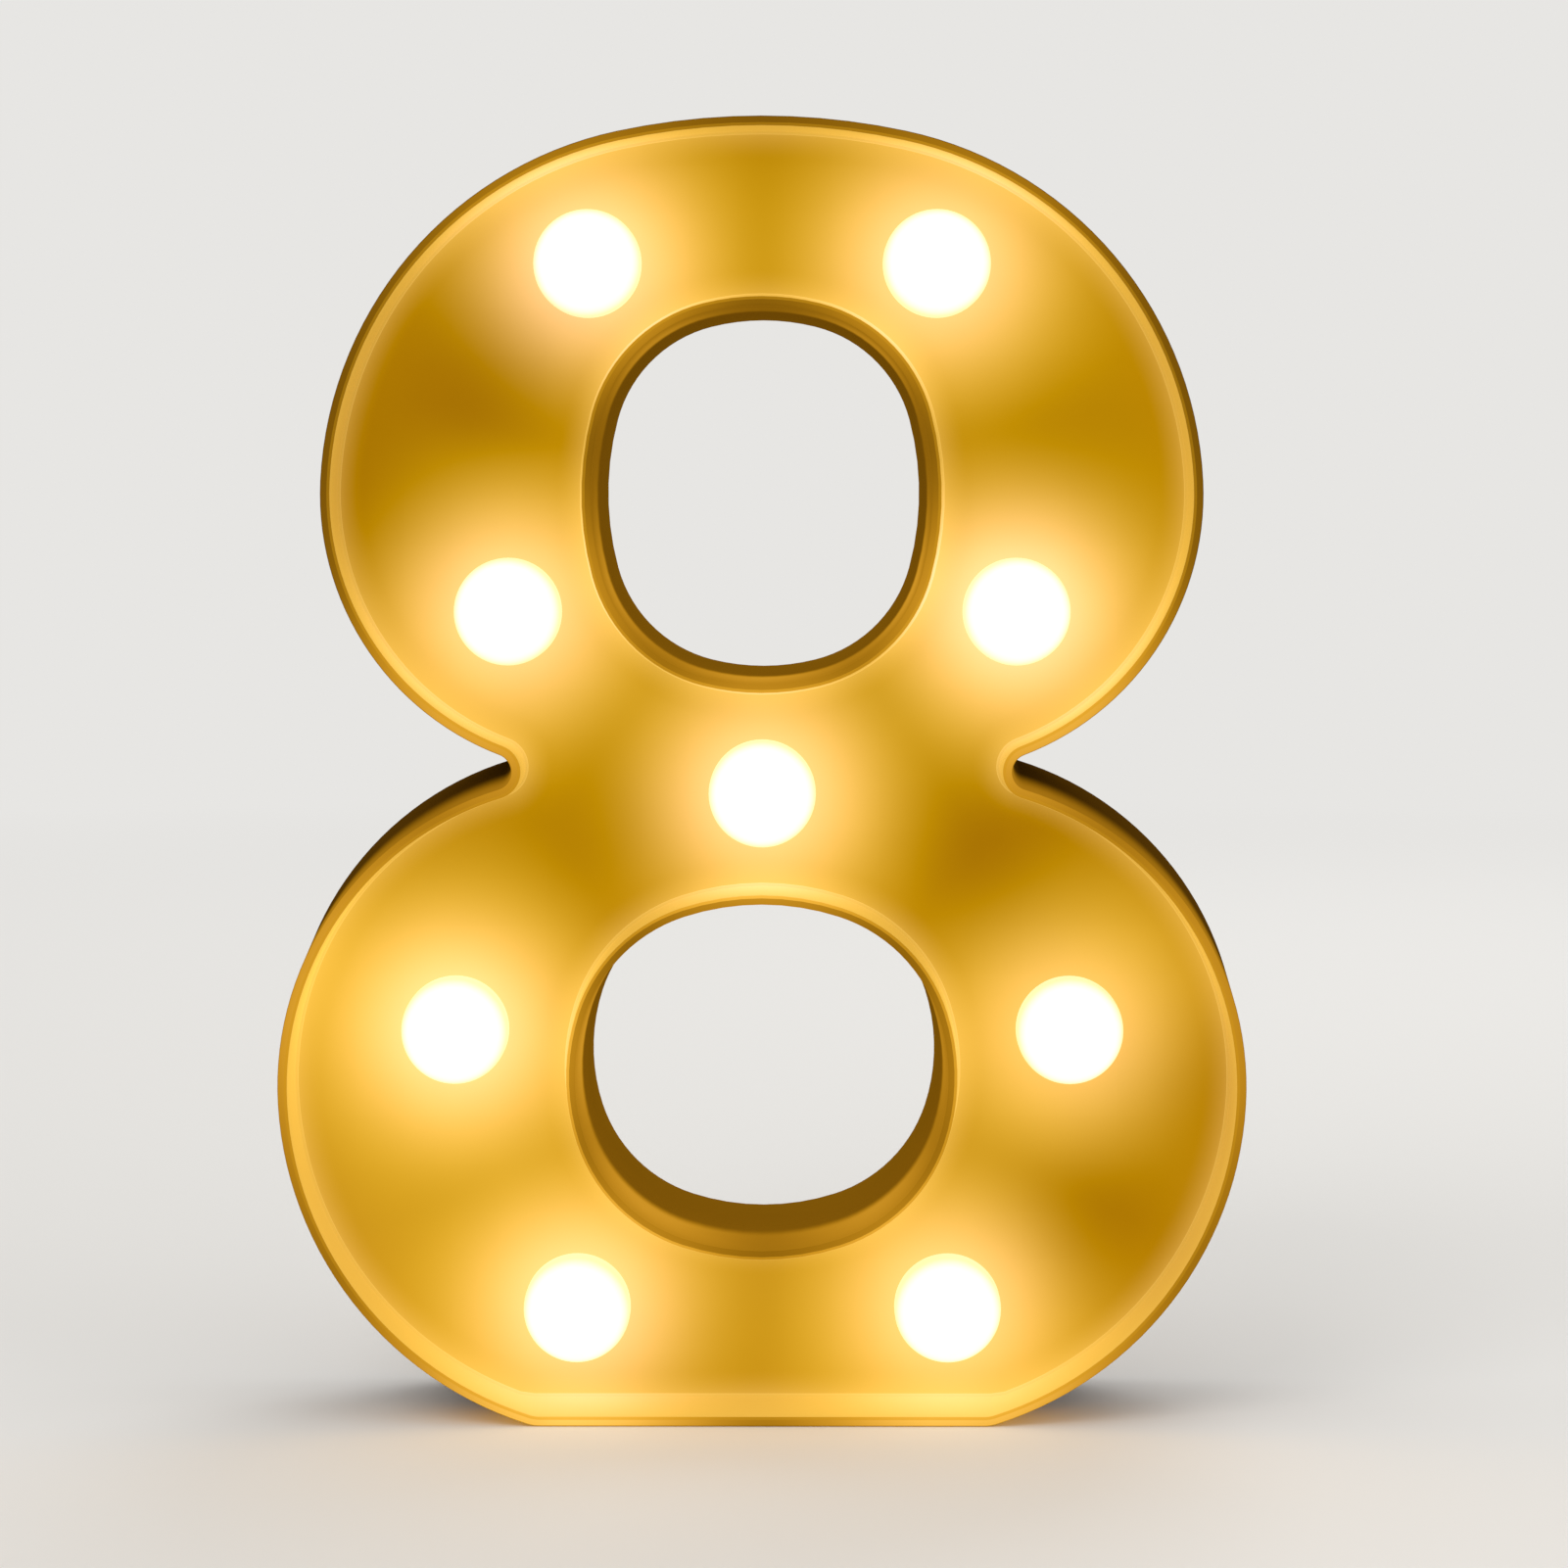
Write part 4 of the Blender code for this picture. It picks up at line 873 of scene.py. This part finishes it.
# Back moulding
def back_levels():
    """From the back panel along the side to the seam, round the lip and back inside the wall."""
    lip = WALL + GAP + LIP
    seam = SEAM_Y + SEAM_GAP
    levels = curved((BACK_Y, BACK_EDGE), (BACK_Y, 0), (BACK_Y - BACK_EDGE, 0),
                    (BACK_SLOT,) + (WALL_SLOT,) * 5)
    levels += curved((seam + SEAM_EDGE, 0), (seam, 0), (seam, SEAM_EDGE), (WALL_SLOT,) * 3)
    inside = ((seam, WALL + GAP), (SEAM_Y - LIP_LENGTH, WALL + GAP), (SEAM_Y - LIP_LENGTH, lip),
              (SEAM_Y + LIP_ROOT - LIP, lip), (SEAM_Y + LIP_ROOT, WALL), (PANEL_Y, WALL + GAP))
    return levels + [(y, inset, BACK_SLOT) for y, inset in inside]


def join_to_panel(back):
    """The screw wells, the battery box and its door's frame, the switch's block and clips, and the cup."""
    carve(back, "UNION", BACK_SLOT, *at_screws(WELL_OUT_R, WELL_Y, INSIDE_Y),
          centred(BOX_X + BOX_WALL, BOX_OUT_Y, INSIDE_Y, BOX_Z, BOX_HALF_Z + BOX_WALL),
          centred(POCKET_X + POCKET_WALL, POCKET_BACK_Y, INSIDE_Y, SWITCH_Z, POCKET_HALF_Z + POCKET_WALL),
          block(CUP_X + CUP_WALL, BACK_Y - CUP_DEPTH - CUP_WALL, INSIDE_Y, HANG_Z - CUP_BELOW - CUP_WALL,
                HANG_Z + CUP_ABOVE + CUP_WALL))
    carve(back, "UNION", BACK_SLOT,
          centred(DOOR_X + GAP + FRAME, BACK_Y - FRAME_DEPTH, INSIDE_Y, BOX_Z, DOOR_HALF_Z + GAP + FRAME),
          *twins(CLIP_X, POCKET_BACK_Y - CLIP_LENGTH, POCKET_BACK_Y + OVER, SWITCH_Z - CLIP_HALF_Z,
                 SWITCH_Z + CLIP_HALF_Z))


def cut_from_panel(back):
    """The openings, in rounds, because cuts that overlap can't share a round."""
    tab_holes = [(add_box, (CONTACT_X - GAP, BOX_OUT_Y - OVER, z - TAB_HOLE_HALF),
                  (BOX_X, FLOOR_Y + OVER, z + TAB_HOLE_HALF)) for z in (LOWER_Z, UPPER_Z)]
    rounds = (
        [*at_screws(WELL_R, SEAT_Y, OUTSIDE_Y),
         centred(BOX_X, FLOOR_Y, OUTSIDE_Y, BOX_Z, BOX_HALF_Z),
         centred(POCKET_X, POCKET_Y, OUTSIDE_Y, SWITCH_Z, POCKET_HALF_Z),
         block(CUP_X, BACK_Y - CUP_DEPTH, PANEL_Y, HANG_Z - CUP_BELOW, HANG_Z + CUP_ABOVE)],
        [*at_screws(HOLE_R, WELL_Y - OVER, SEAT_Y + OVER),
         block(DOOR_X + GAP, BACK_Y - DOOR - GAP, OUTSIDE_Y, HINGE_Z, DOOR_TOP + GAP),
         centred(SLOT_X, POCKET_BACK_Y - OVER, POCKET_Y + OVER, SWITCH_Z, SLOT_HALF_Z),
         (add_rod, 0, HANG_Z, KEY_R, PANEL_Y - OVER, OUTSIDE_Y)],
        [*at_screws(WELL_R, *MOUTH_DEPTHS, WELL_R + CHAMFER + SKIM),
         (add_bar, HINGE_Y, HINGE_Z, HINGE_R + GAP, DOOR_X + GAP),
         (add_rod, 0, SCOOP_Z, SCOOP_R, BACK_Y - SCOOP_DEPTH, OUTSIDE_Y, SCOOP_MOUTH_R),
         block(KEY_NECK_R, PANEL_Y - OVER, OUTSIDE_Y, HANG_Z, HANG_Z + KEY_RISE), *tab_holes],
        [block(DOOR_X + GAP, HINGE_Y, OUTSIDE_Y, HINGE_Z - HINGE_R - GAP, HINGE_Z + HINGE_R + GAP),
         (add_rod, 0, HANG_Z + KEY_RISE, KEY_NECK_R, PANEL_Y - OVER, OUTSIDE_Y),
         (add_rod, 0, HANG_Z, KEY_R, *MOUTH_DEPTHS, KEY_R + CHAMFER + SKIM)],
        [(add_bar, HINGE_Y, HINGE_Z, PIN_HOLE_R, DOOR_X + PIN_HOLE_LENGTH)],
    )
    for cuts in rounds:
        carve(back, "DIFFERENCE", BACK_SLOT, *cuts)


def back_moulding():
    bm = bmesh.new()
    rows = skin(bm, back_levels())
    cap(bm, rows[0], BACK_SLOT)
    cap(bm, rows[-1], BACK_SLOT)
    moulding = to_object("back_moulding", bm, MOULDING)
    join_to_panel(moulding)
    cut_from_panel(moulding)
    finish_shading(moulding)
    return moulding


back = weigh_normals(back_moulding())
stands_for(back, "body", "back_plastic", "back_shell")


# Battery door
def add_arrow(bm):
    """A flat triangle below the grip that points down."""
    top = DOOR_TOP - ARROW_START
    corners = ((-ARROW_X, top), (ARROW_X, top), (0, top - ARROW_LENGTH))
    depths = (BACK_Y - GRIP_DEPTH, OUTSIDE_Y)
    close_rows(bm, [add_points(bm, [(x, y, z) for x, z in corners]) for y in depths])


def battery_door():
    """A flap with soft edges, grip grooves and an arrow on its latch, and a barrel with two pins."""
    flap = (*block(DOOR_X, BACK_Y - DOOR, BACK_Y, HINGE_Z, DOOR_TOP), DOOR_EDGE)
    door = to_object("door_flap", shapes([flap]), (BACK,))
    carve(door, "UNION", 0, (add_bar, HINGE_Y, HINGE_Z, HINGE_R, DOOR_X))
    carve(door, "UNION", 0, (add_bar, HINGE_Y, HINGE_Z, PIN_R, DOOR_X + PIN_LENGTH))
    levels = [DOOR_TOP - GRIP_START - GRIP_PITCH * i for i in range(GRIP_LINES)]
    grooves = [block(GRIP_X, BACK_Y - GRIP_DEPTH, OUTSIDE_Y, z, z + GRIP_WIDTH) for z in levels]
    slits = twins(SLIT_X, BACK_Y - DOOR - OVER, OUTSIDE_Y, DOOR_TOP - SLIT_LENGTH, DOOR_TOP + OVER)
    carve(door, "DIFFERENCE", 0, *grooves, *slits)
    carve(door, "DIFFERENCE", 0, (add_arrow,))
    finish_shading(door)
    return weigh_normals(door)


stands_for(battery_door(), "door", "back_plastic", "battery_door")


# Switch knob and its words
def switch_knob():
    """A soft edged slider with three grip grooves across its top."""
    body = (add_box, (KNOB_X - KNOB_HALF, KNOB_FOOT_Y, SWITCH_Z - KNOB_HALF),
            (KNOB_X + KNOB_HALF, KNOB_TOP_Y, SWITCH_Z + KNOB_HALF), KNOB_EDGE)
    knob = to_object("slider", shapes([body]), (DARK,))
    half_z = KNOB_HALF + OVER
    grooves = [(add_box, (x - KNOB_LINE_HALF, KNOB_TOP_Y - KNOB_LINE_DEPTH, SWITCH_Z - half_z),
                (x + KNOB_LINE_HALF, KNOB_TOP_Y + OVER, SWITCH_Z + half_z))
               for x in (KNOB_X - KNOB_LINE_PITCH, KNOB_X, KNOB_X + KNOB_LINE_PITCH)]
    carve(knob, "DIFFERENCE", 0, *grooves)
    finish_shading(knob)
    return weigh_normals(knob)


stands_for(switch_knob(), "knob", "knob_plastic", "switch_knob")


def word(text, x):
    """A small raised word on the back panel above the switch, read from behind."""
    letters = bpy.data.curves.new(text, "FONT")
    letters.body = text
    letters.size = WORD_SIZE
    letters.extrude = WORD_RISE
    letters.align_x = "CENTER"
    letters.resolution_u = 4
    sign = bpy.data.objects.new("word_" + text, letters)
    upright = Matrix.Rotation(math.pi, 4, "Z") @ Matrix.Rotation(math.pi / 2, 4, "X")
    sign.matrix_world = Matrix.Translation((x, BACK_Y, WORD_Z)) @ upright
    bpy.context.scene.collection.objects.link(sign)
    bpy.context.view_layer.update()
    mesh = bpy.data.meshes.new_from_object(sign.evaluated_get(bpy.context.evaluated_depsgraph_get()))
    mesh.transform(sign.matrix_world)
    mesh.materials.clear()
    mesh.materials.append(DARK)
    bpy.data.objects.remove(sign, do_unlink=True)
    stands_for(link_mesh("word_" + text.lower(), mesh), "body", "knob_plastic")


word("ON", -WORD_X)
word("OFF", WORD_X)


# Turned pieces
def turned(name, profile, count, materials, slots=None):
    """A closed turned mesh about the Y axis.

    The profile is (radius, y), with radius 0 at both ends, and a stretch has the slot of its first point.
    """
    bm = bmesh.new()
    rows = [add_points(bm, round_ring(0, y, 0, radius, count) if radius else [(0, y, 0)])
            for radius, y in profile]
    for row, (near, far) in enumerate(zip(rows, rows[1:])):
        for i in range(count):
            places = ((near, i - 1), (near, i), (far, i), (far, i - 1))
            corners = dict.fromkeys(ring[place % len(ring)] for ring, place in places)
            face = bm.faces.new(list(corners))
            face.material_index = slots[row] if slots else 0
    return to_object(name, bm, materials, 40)


def place_copy(source, name, spot, turn=0):
    """A copy, turned about Z and moved, with its mesh in the part's own space."""
    mesh = source.data.copy()
    mesh.transform(Matrix.Translation(spot) @ Matrix.Rotation(math.radians(turn), 4, "Z"))
    copy = bpy.data.objects.new(name, mesh)
    bpy.context.scene.collection.objects.link(copy)
    return copy


def dome_arc(radius, centre_y, angles):
    """Points of a profile at angles from the crown, in degrees."""
    turns = [math.radians(angle) for angle in angles]
    return [(radius * math.sin(turn), centre_y - radius * math.cos(turn)) for turn in turns]


def globe_profile():
    """From the crown over the outside to the neck, and back along the inside."""
    outer = dome_arc(GLOBE_R, -GLOBE_STRAIGHT, range(0, 91, 5))
    foot = bend((GLOBE_R, -GAP - GLOBE_EDGE), (GLOBE_R, -GAP), (GLOBE_R - GLOBE_EDGE, -GAP), 3)
    inner_r = NECK_R - NECK_WALL
    inner_y = -(GLOBE_STRAIGHT + GLOBE_R - GLOBE_WALL - inner_r)
    neck = [(NECK_R, -GAP), (NECK_R, NECK_BACK), (inner_r, NECK_BACK)]
    return outer + foot + neck + dome_arc(inner_r, inner_y, range(90, -1, -10))


dome = turned("dome", globe_profile(), 64, (GLOBE,))
for place, (x, z) in GLOBE_SPOTS.items():
    piece = place_copy(dome, "dome_" + place, (x, FACE_Y, z))
    stands_for(piece, "body", "frosted_globe", "globe_" + place)
bpy.data.objects.remove(dome, do_unlink=True)


def screw_profile():
    """From the domed head down a threaded shank to its point."""
    points = [(0, HEAD_TOP)] + [(HEAD_R * share, y) for share, y in HEAD_DOME]
    points += [(HEAD_R, HEAD_BRIM), (HEAD_R, HEAD_EDGE), (HEAD_R - HEAD_EDGE, 0), (SHANK_R, 0),
               (SHANK_R * 0.86, -0.0002)]
    for i in range(THREAD_TURNS):
        y = -THREAD_START - i * THREAD_PITCH
        crest = y - THREAD_FLANK
        points += [(THREAD_ROOT_R, y), (SHANK_R, crest), (SHANK_R, crest - THREAD_CREST),
                   (THREAD_ROOT_R, crest - THREAD_CREST - THREAD_FLANK)]
    return points + [(0, -SHANK_LENGTH)]


screw = turned("screw", screw_profile(), 40, (STEEL,))
for half_x, half_z in ((CROSS_REACH, CROSS_HALF), (CROSS_HALF, CROSS_REACH)):
    carve(screw, "DIFFERENCE", 0, centred(half_x, HEAD_BRIM, CROSS_TOP, 0, half_z))
finish_shading(screw)
for place, (x, z) in SCREW_SPOTS.items():
    piece = place_copy(screw, "fixing_" + place, (x, SEAT_Y + GAP, z))
    stands_for(piece, "body", "screw_steel", "screw_" + place)
bpy.data.objects.remove(screw, do_unlink=True)


# Cells
def cell_sleeve():
    """Printed sleeve: a broad dark field, a copper coloured end towards the nub and fine scuffs."""
    material, tree, shader, place = new_material("cell_wrap")
    axes = axes_of(tree, place)
    side = maths(tree, "SIGN", maths(tree, "SUBTRACT", axes[2], BOX_Z))
    band = soft_ramp(tree, maths(tree, "MULTIPLY", axes[0], side), *COPPER_X)
    scuff = noise(tree, place, scale=700, detail=4.0, roughness=0.7)
    field = scaled(tree, (0.020, 0.022, 0.026), ranged(tree, scuff, 0.7, 1.4))
    copper = scaled(tree, (0.50, 0.24, 0.09), ranged(tree, scuff, 0.85, 1.1))
    fill(shader, "Base Color", blended(tree, band, field, copper))
    fill(shader, "Metallic", maths(tree, "MULTIPLY", band, 0.85))
    grain(tree, shader, place, roughness=0.30, spread=0.07, depth=0.000006, scale=1500)
    return material


SLEEVE = cell_sleeve()


def cell_profile():
    """From the nub over the shoulder and down the rolled sleeve, and 1 for each of the sleeve's points."""
    half, can_r, lap_r, lap = CELL_LENGTH / 2, 0.0056, 0.0060, 0.0001
    shoulder = half - NUB_HEIGHT
    top = [(0, half)] + bend((NUB_R - NUB_EDGE, half), (NUB_R, half), (NUB_R, half - NUB_EDGE))
    top += [(NUB_R, shoulder), (can_r, shoulder)]
    sleeve = [(can_r, shoulder - 0.00015)]
    sleeve += bend((lap_r, shoulder), (CELL_R, shoulder), (CELL_R, shoulder - 0.0007), 6)
    sleeve += bend((CELL_R, -half + 0.0007), (CELL_R, -half + lap), (CELL_R - 0.0008, -half + lap), 6)
    foot = [(lap_r, -half + lap), (lap_r, -half + 0.0003), (can_r, -half), (0, -half)]
    return top + sleeve + foot, [0] * len(top) + [1] * len(sleeve) + [0] * len(foot)


profile, slots = cell_profile()
cell = turned("cell", profile, 64, (NICKEL, SLEEVE), slots)
for name, side in (("cell_upper", 1), ("cell_lower", -1)):
    piece = place_copy(cell, name + "_can", (side * CELL_SHIFT, CELL_Y, BOX_Z + side * CELL_Z), -90 * side)
    stands_for(piece, "body", "cell_sleeve", name)
bpy.data.objects.remove(cell, do_unlink=True)


# Contacts
def add_ring(bm, centre, out, up, radius, sides):
    """Corners of a circle, from its centre and two unit vectors across it."""
    turns = [math.tau * i / sides for i in range(sides)]
    return add_points(bm, [centre + radius * (math.cos(turn) * out + math.sin(turn) * up) for turn in turns])


def add_button(bm, side, z):
    """A raised button on a contact, with drafted sides and a soft edge round its tip."""
    rows = []
    for reach, radius in BUTTON_RINGS:
        centre = Vector((side * (CONTACT_X + reach), CELL_Y, z))
        rows.append(add_ring(bm, centre, Vector((0, 1, 0)), Vector((0, 0, 1)), radius, 40))
    close_rows(bm, rows)


def coil_path(side, z):
    """Points along a coned spring, from the contact towards the cell."""
    foot, tip = CONTACT_X + COIL_WIRE_R / 2, CONTACT_X - COIL_LENGTH
    count = COIL_TURNS * COIL_STEPS
    path = []
    for i in range(count + 1):
        share = i / count
        radius = COIL_R - COIL_TAPER * share
        angle = math.tau * i / COIL_STEPS
        path.append(Vector((side * (foot + (tip - foot) * share), CELL_Y + radius * math.cos(angle),
                            z + radius * math.sin(angle))))
    return path


def add_coil(bm, side, z):
    """A round wire along the spring's path, closed at both ends."""
    path = coil_path(side, z)
    rows = []
    for i, point in enumerate(path):
        ahead = (path[min(i + 1, len(path) - 1)] - path[max(i - 1, 0)]).normalized()
        out = ahead.cross(Vector((1, 0, 0))).normalized()
        rows.append(add_ring(bm, point, out, ahead.cross(out), COIL_WIRE_R, 12))
    close_rows(bm, rows)


def contact(name, side, low_z, high_z, button_z=None, spring_z=None, tab_z=None):
    """A stamped plate at the cells' ends, and the button, the coned spring and the tab that it carries."""
    near, far = sorted((side * CONTACT_X, side * (CONTACT_X + CONTACT)))
    parts = [(add_box, (near, CELL_Y - CONTACT_HALF, low_z - CONTACT_HALF),
              (far, CELL_Y + CONTACT_HALF, high_z + CONTACT_HALF), CONTACT_EDGE)]
    if tab_z is not None:
        parts.append((add_box, (near, BOX_OUT_Y - TAB_HALF, tab_z - TAB_HALF),
                      (far, CELL_Y - CONTACT_HALF + OVER, tab_z + TAB_HALF), CONTACT_EDGE))
    if button_z is not None:
        parts.append((add_button, side, button_z))
    if spring_z is not None:
        parts.append((add_coil, side, spring_z))
    stamped = to_object(name + "_stamped", shapes(parts), (NICKEL,), 40)
    stands_for(stamped, "body", "contact_nickel", name)


contact("contact_link", -1, LOWER_Z, UPPER_Z, button_z=LOWER_Z, spring_z=UPPER_Z)
contact("contact_positive", 1, UPPER_Z, UPPER_Z, button_z=UPPER_Z, tab_z=UPPER_Z)
contact("contact_negative", 1, LOWER_Z, LOWER_Z, spring_z=LOWER_Z, tab_z=LOWER_Z)


# Nodes that keep their CAD shapes
def lens_material():
    """Warm dome of a lamp, lit from inside."""
    material, tree, shader, place = new_material("lamp_dome")
    tint = ranged(tree, noise(tree, place, scale=600), 0.95, 1.05)
    give_off(shader, scaled(tree, (1.0, 0.90, 0.55), tint))
    fill(shader, "Base Color", (0.95, 0.88, 0.6, 1))
    grain(tree, shader, place, roughness=0.16, spread=0.03, depth=0.000005)
    return material


LENS = lens_material()
FINISHES = {
    "front_shell": SIDE, "back_shell": BACK, "battery_door": BACK, "globe_": GLOBE, "collar_": COLLAR,
    "lamp_": LENS, "screw_": STEEL, "cell_": DARK, "contact_": NICKEL, "switch_body": CAN,
    "switch_knob": DARK, "wire_": TWIN, "lead_switched": BLACK, "lead_negative": BLACK,
    "lead_positive": RED, "lead_resistor": RED, "resistor": COLLAR,
}
for name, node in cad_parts.items():
    for start, material in FINISHES.items():
        if name.startswith(start):
            for slot in node.material_slots:
                slot.material = material
            break

# Studio
GREY = (0.80, 0.79, 0.77, 1)
DAYLIGHT = (1.0, 0.99, 0.97, 1)
DAYLIGHT_STRENGTH = 0.72
FLOOR_R = 4.0
FLOOR_DROP = 0.0001
VEIL_START = 0.28
VEIL_END = 1.5
# Place, width and power of each lamp
LAMPS = {
    "key": ((-0.55, -1.05, 0.95), 0.9, 5.0),
    "fill": ((0.95, -0.75, 0.45), 0.9, 1.8),
    "back": ((0.35, 1.10, 0.90), 0.8, 3.6),
}
CAMERA_SPOT = (0.007, -0.84, 0.162)
CAMERA_TILT = 3.725
CAMERA_TURN = 0.228
CAMERA_LENS = 112.3


def mix_shaders(tree, factor, first, second, output):
    mix = add_node(tree, "ShaderNodeMixShader", in_0=factor, in_1=first.outputs[0], in_2=second.outputs[0])
    fill(tree.nodes[output], "Surface", mix.outputs[0])


def studio_floor():
    """A pale floor that fades to the backdrop's grey away from the object."""
    bm = bmesh.new()
    bmesh.ops.create_circle(bm, cap_ends=True, segments=96, radius=FLOOR_R)
    floor = to_object("studio_floor", bm, ())
    floor.location.z = -FLOOR_DROP
    material, tree, shader, place = new_material("studio_floor")
    fill(shader, "Base Color", GREY)
    fill(shader, "Roughness", 0.75)
    away = add_node(tree, "ShaderNodeVectorMath", operation="LENGTH", in_0=place).outputs["Value"]
    veil = add_node(tree, "ShaderNodeEmission", in_Color=GREY, in_Strength=1.0)
    mix_shaders(tree, ranged(tree, away, 0.0, 1.0, VEIL_START, VEIL_END), shader, veil, "Material Output")
    floor.data.materials.append(material)


def studio_world():
    """Soft daylight that the camera, gloss and glass see as the plain grey."""
    world = bpy.data.worlds.new("studio")
    bpy.context.scene.world = world
    world.use_nodes = True
    tree = world.node_tree
    plain = tree.nodes["Background"]
    fill(plain, "Color", DAYLIGHT)
    fill(plain, "Strength", DAYLIGHT_STRENGTH)
    seen = add_node(tree, "ShaderNodeBackground", in_Color=GREY, in_Strength=1.0)
    ray = add_node(tree, "ShaderNodeLightPath").outputs
    bounced = maths(tree, "MAXIMUM", ray["Is Glossy Ray"], ray["Is Transmission Ray"])
    mix_shaders(tree, maths(tree, "MAXIMUM", ray["Is Camera Ray"], bounced), plain, seen, "World Output")


def studio_lamps():
    """Wide lamps that point at the middle of the digit."""
    middle = Vector((0, 0, HEIGHT / 2))
    for name, (spot, size, power) in LAMPS.items():
        lamp = bpy.data.lights.new("studio_" + name, "AREA")
        lamp.shape = "DISK"
        lamp.size = size
        lamp.energy = power
        light = bpy.data.objects.new("studio_" + name, lamp)
        light.location = spot
        light.rotation_euler = (middle - Vector(spot)).to_track_quat("-Z", "Y").to_euler()
        bpy.context.scene.collection.objects.link(light)


def photo_camera():
    """The camera where the photographer's stood, with no shift."""
    lens = bpy.data.cameras.new("photo_camera")
    lens.sensor_width = 36
    lens.lens = CAMERA_LENS
    lens.clip_start = 0.01
    camera = bpy.data.objects.new("photo_camera", lens)
    camera.location = CAMERA_SPOT
    camera.rotation_euler = (math.radians(90 - CAMERA_TILT), 0, math.radians(CAMERA_TURN))
    bpy.context.scene.collection.objects.link(camera)
    bpy.context.scene.camera = camera


bpy.context.scene.view_settings.view_transform = "Standard"
studio_floor()
studio_world()
studio_lamps()
photo_camera()
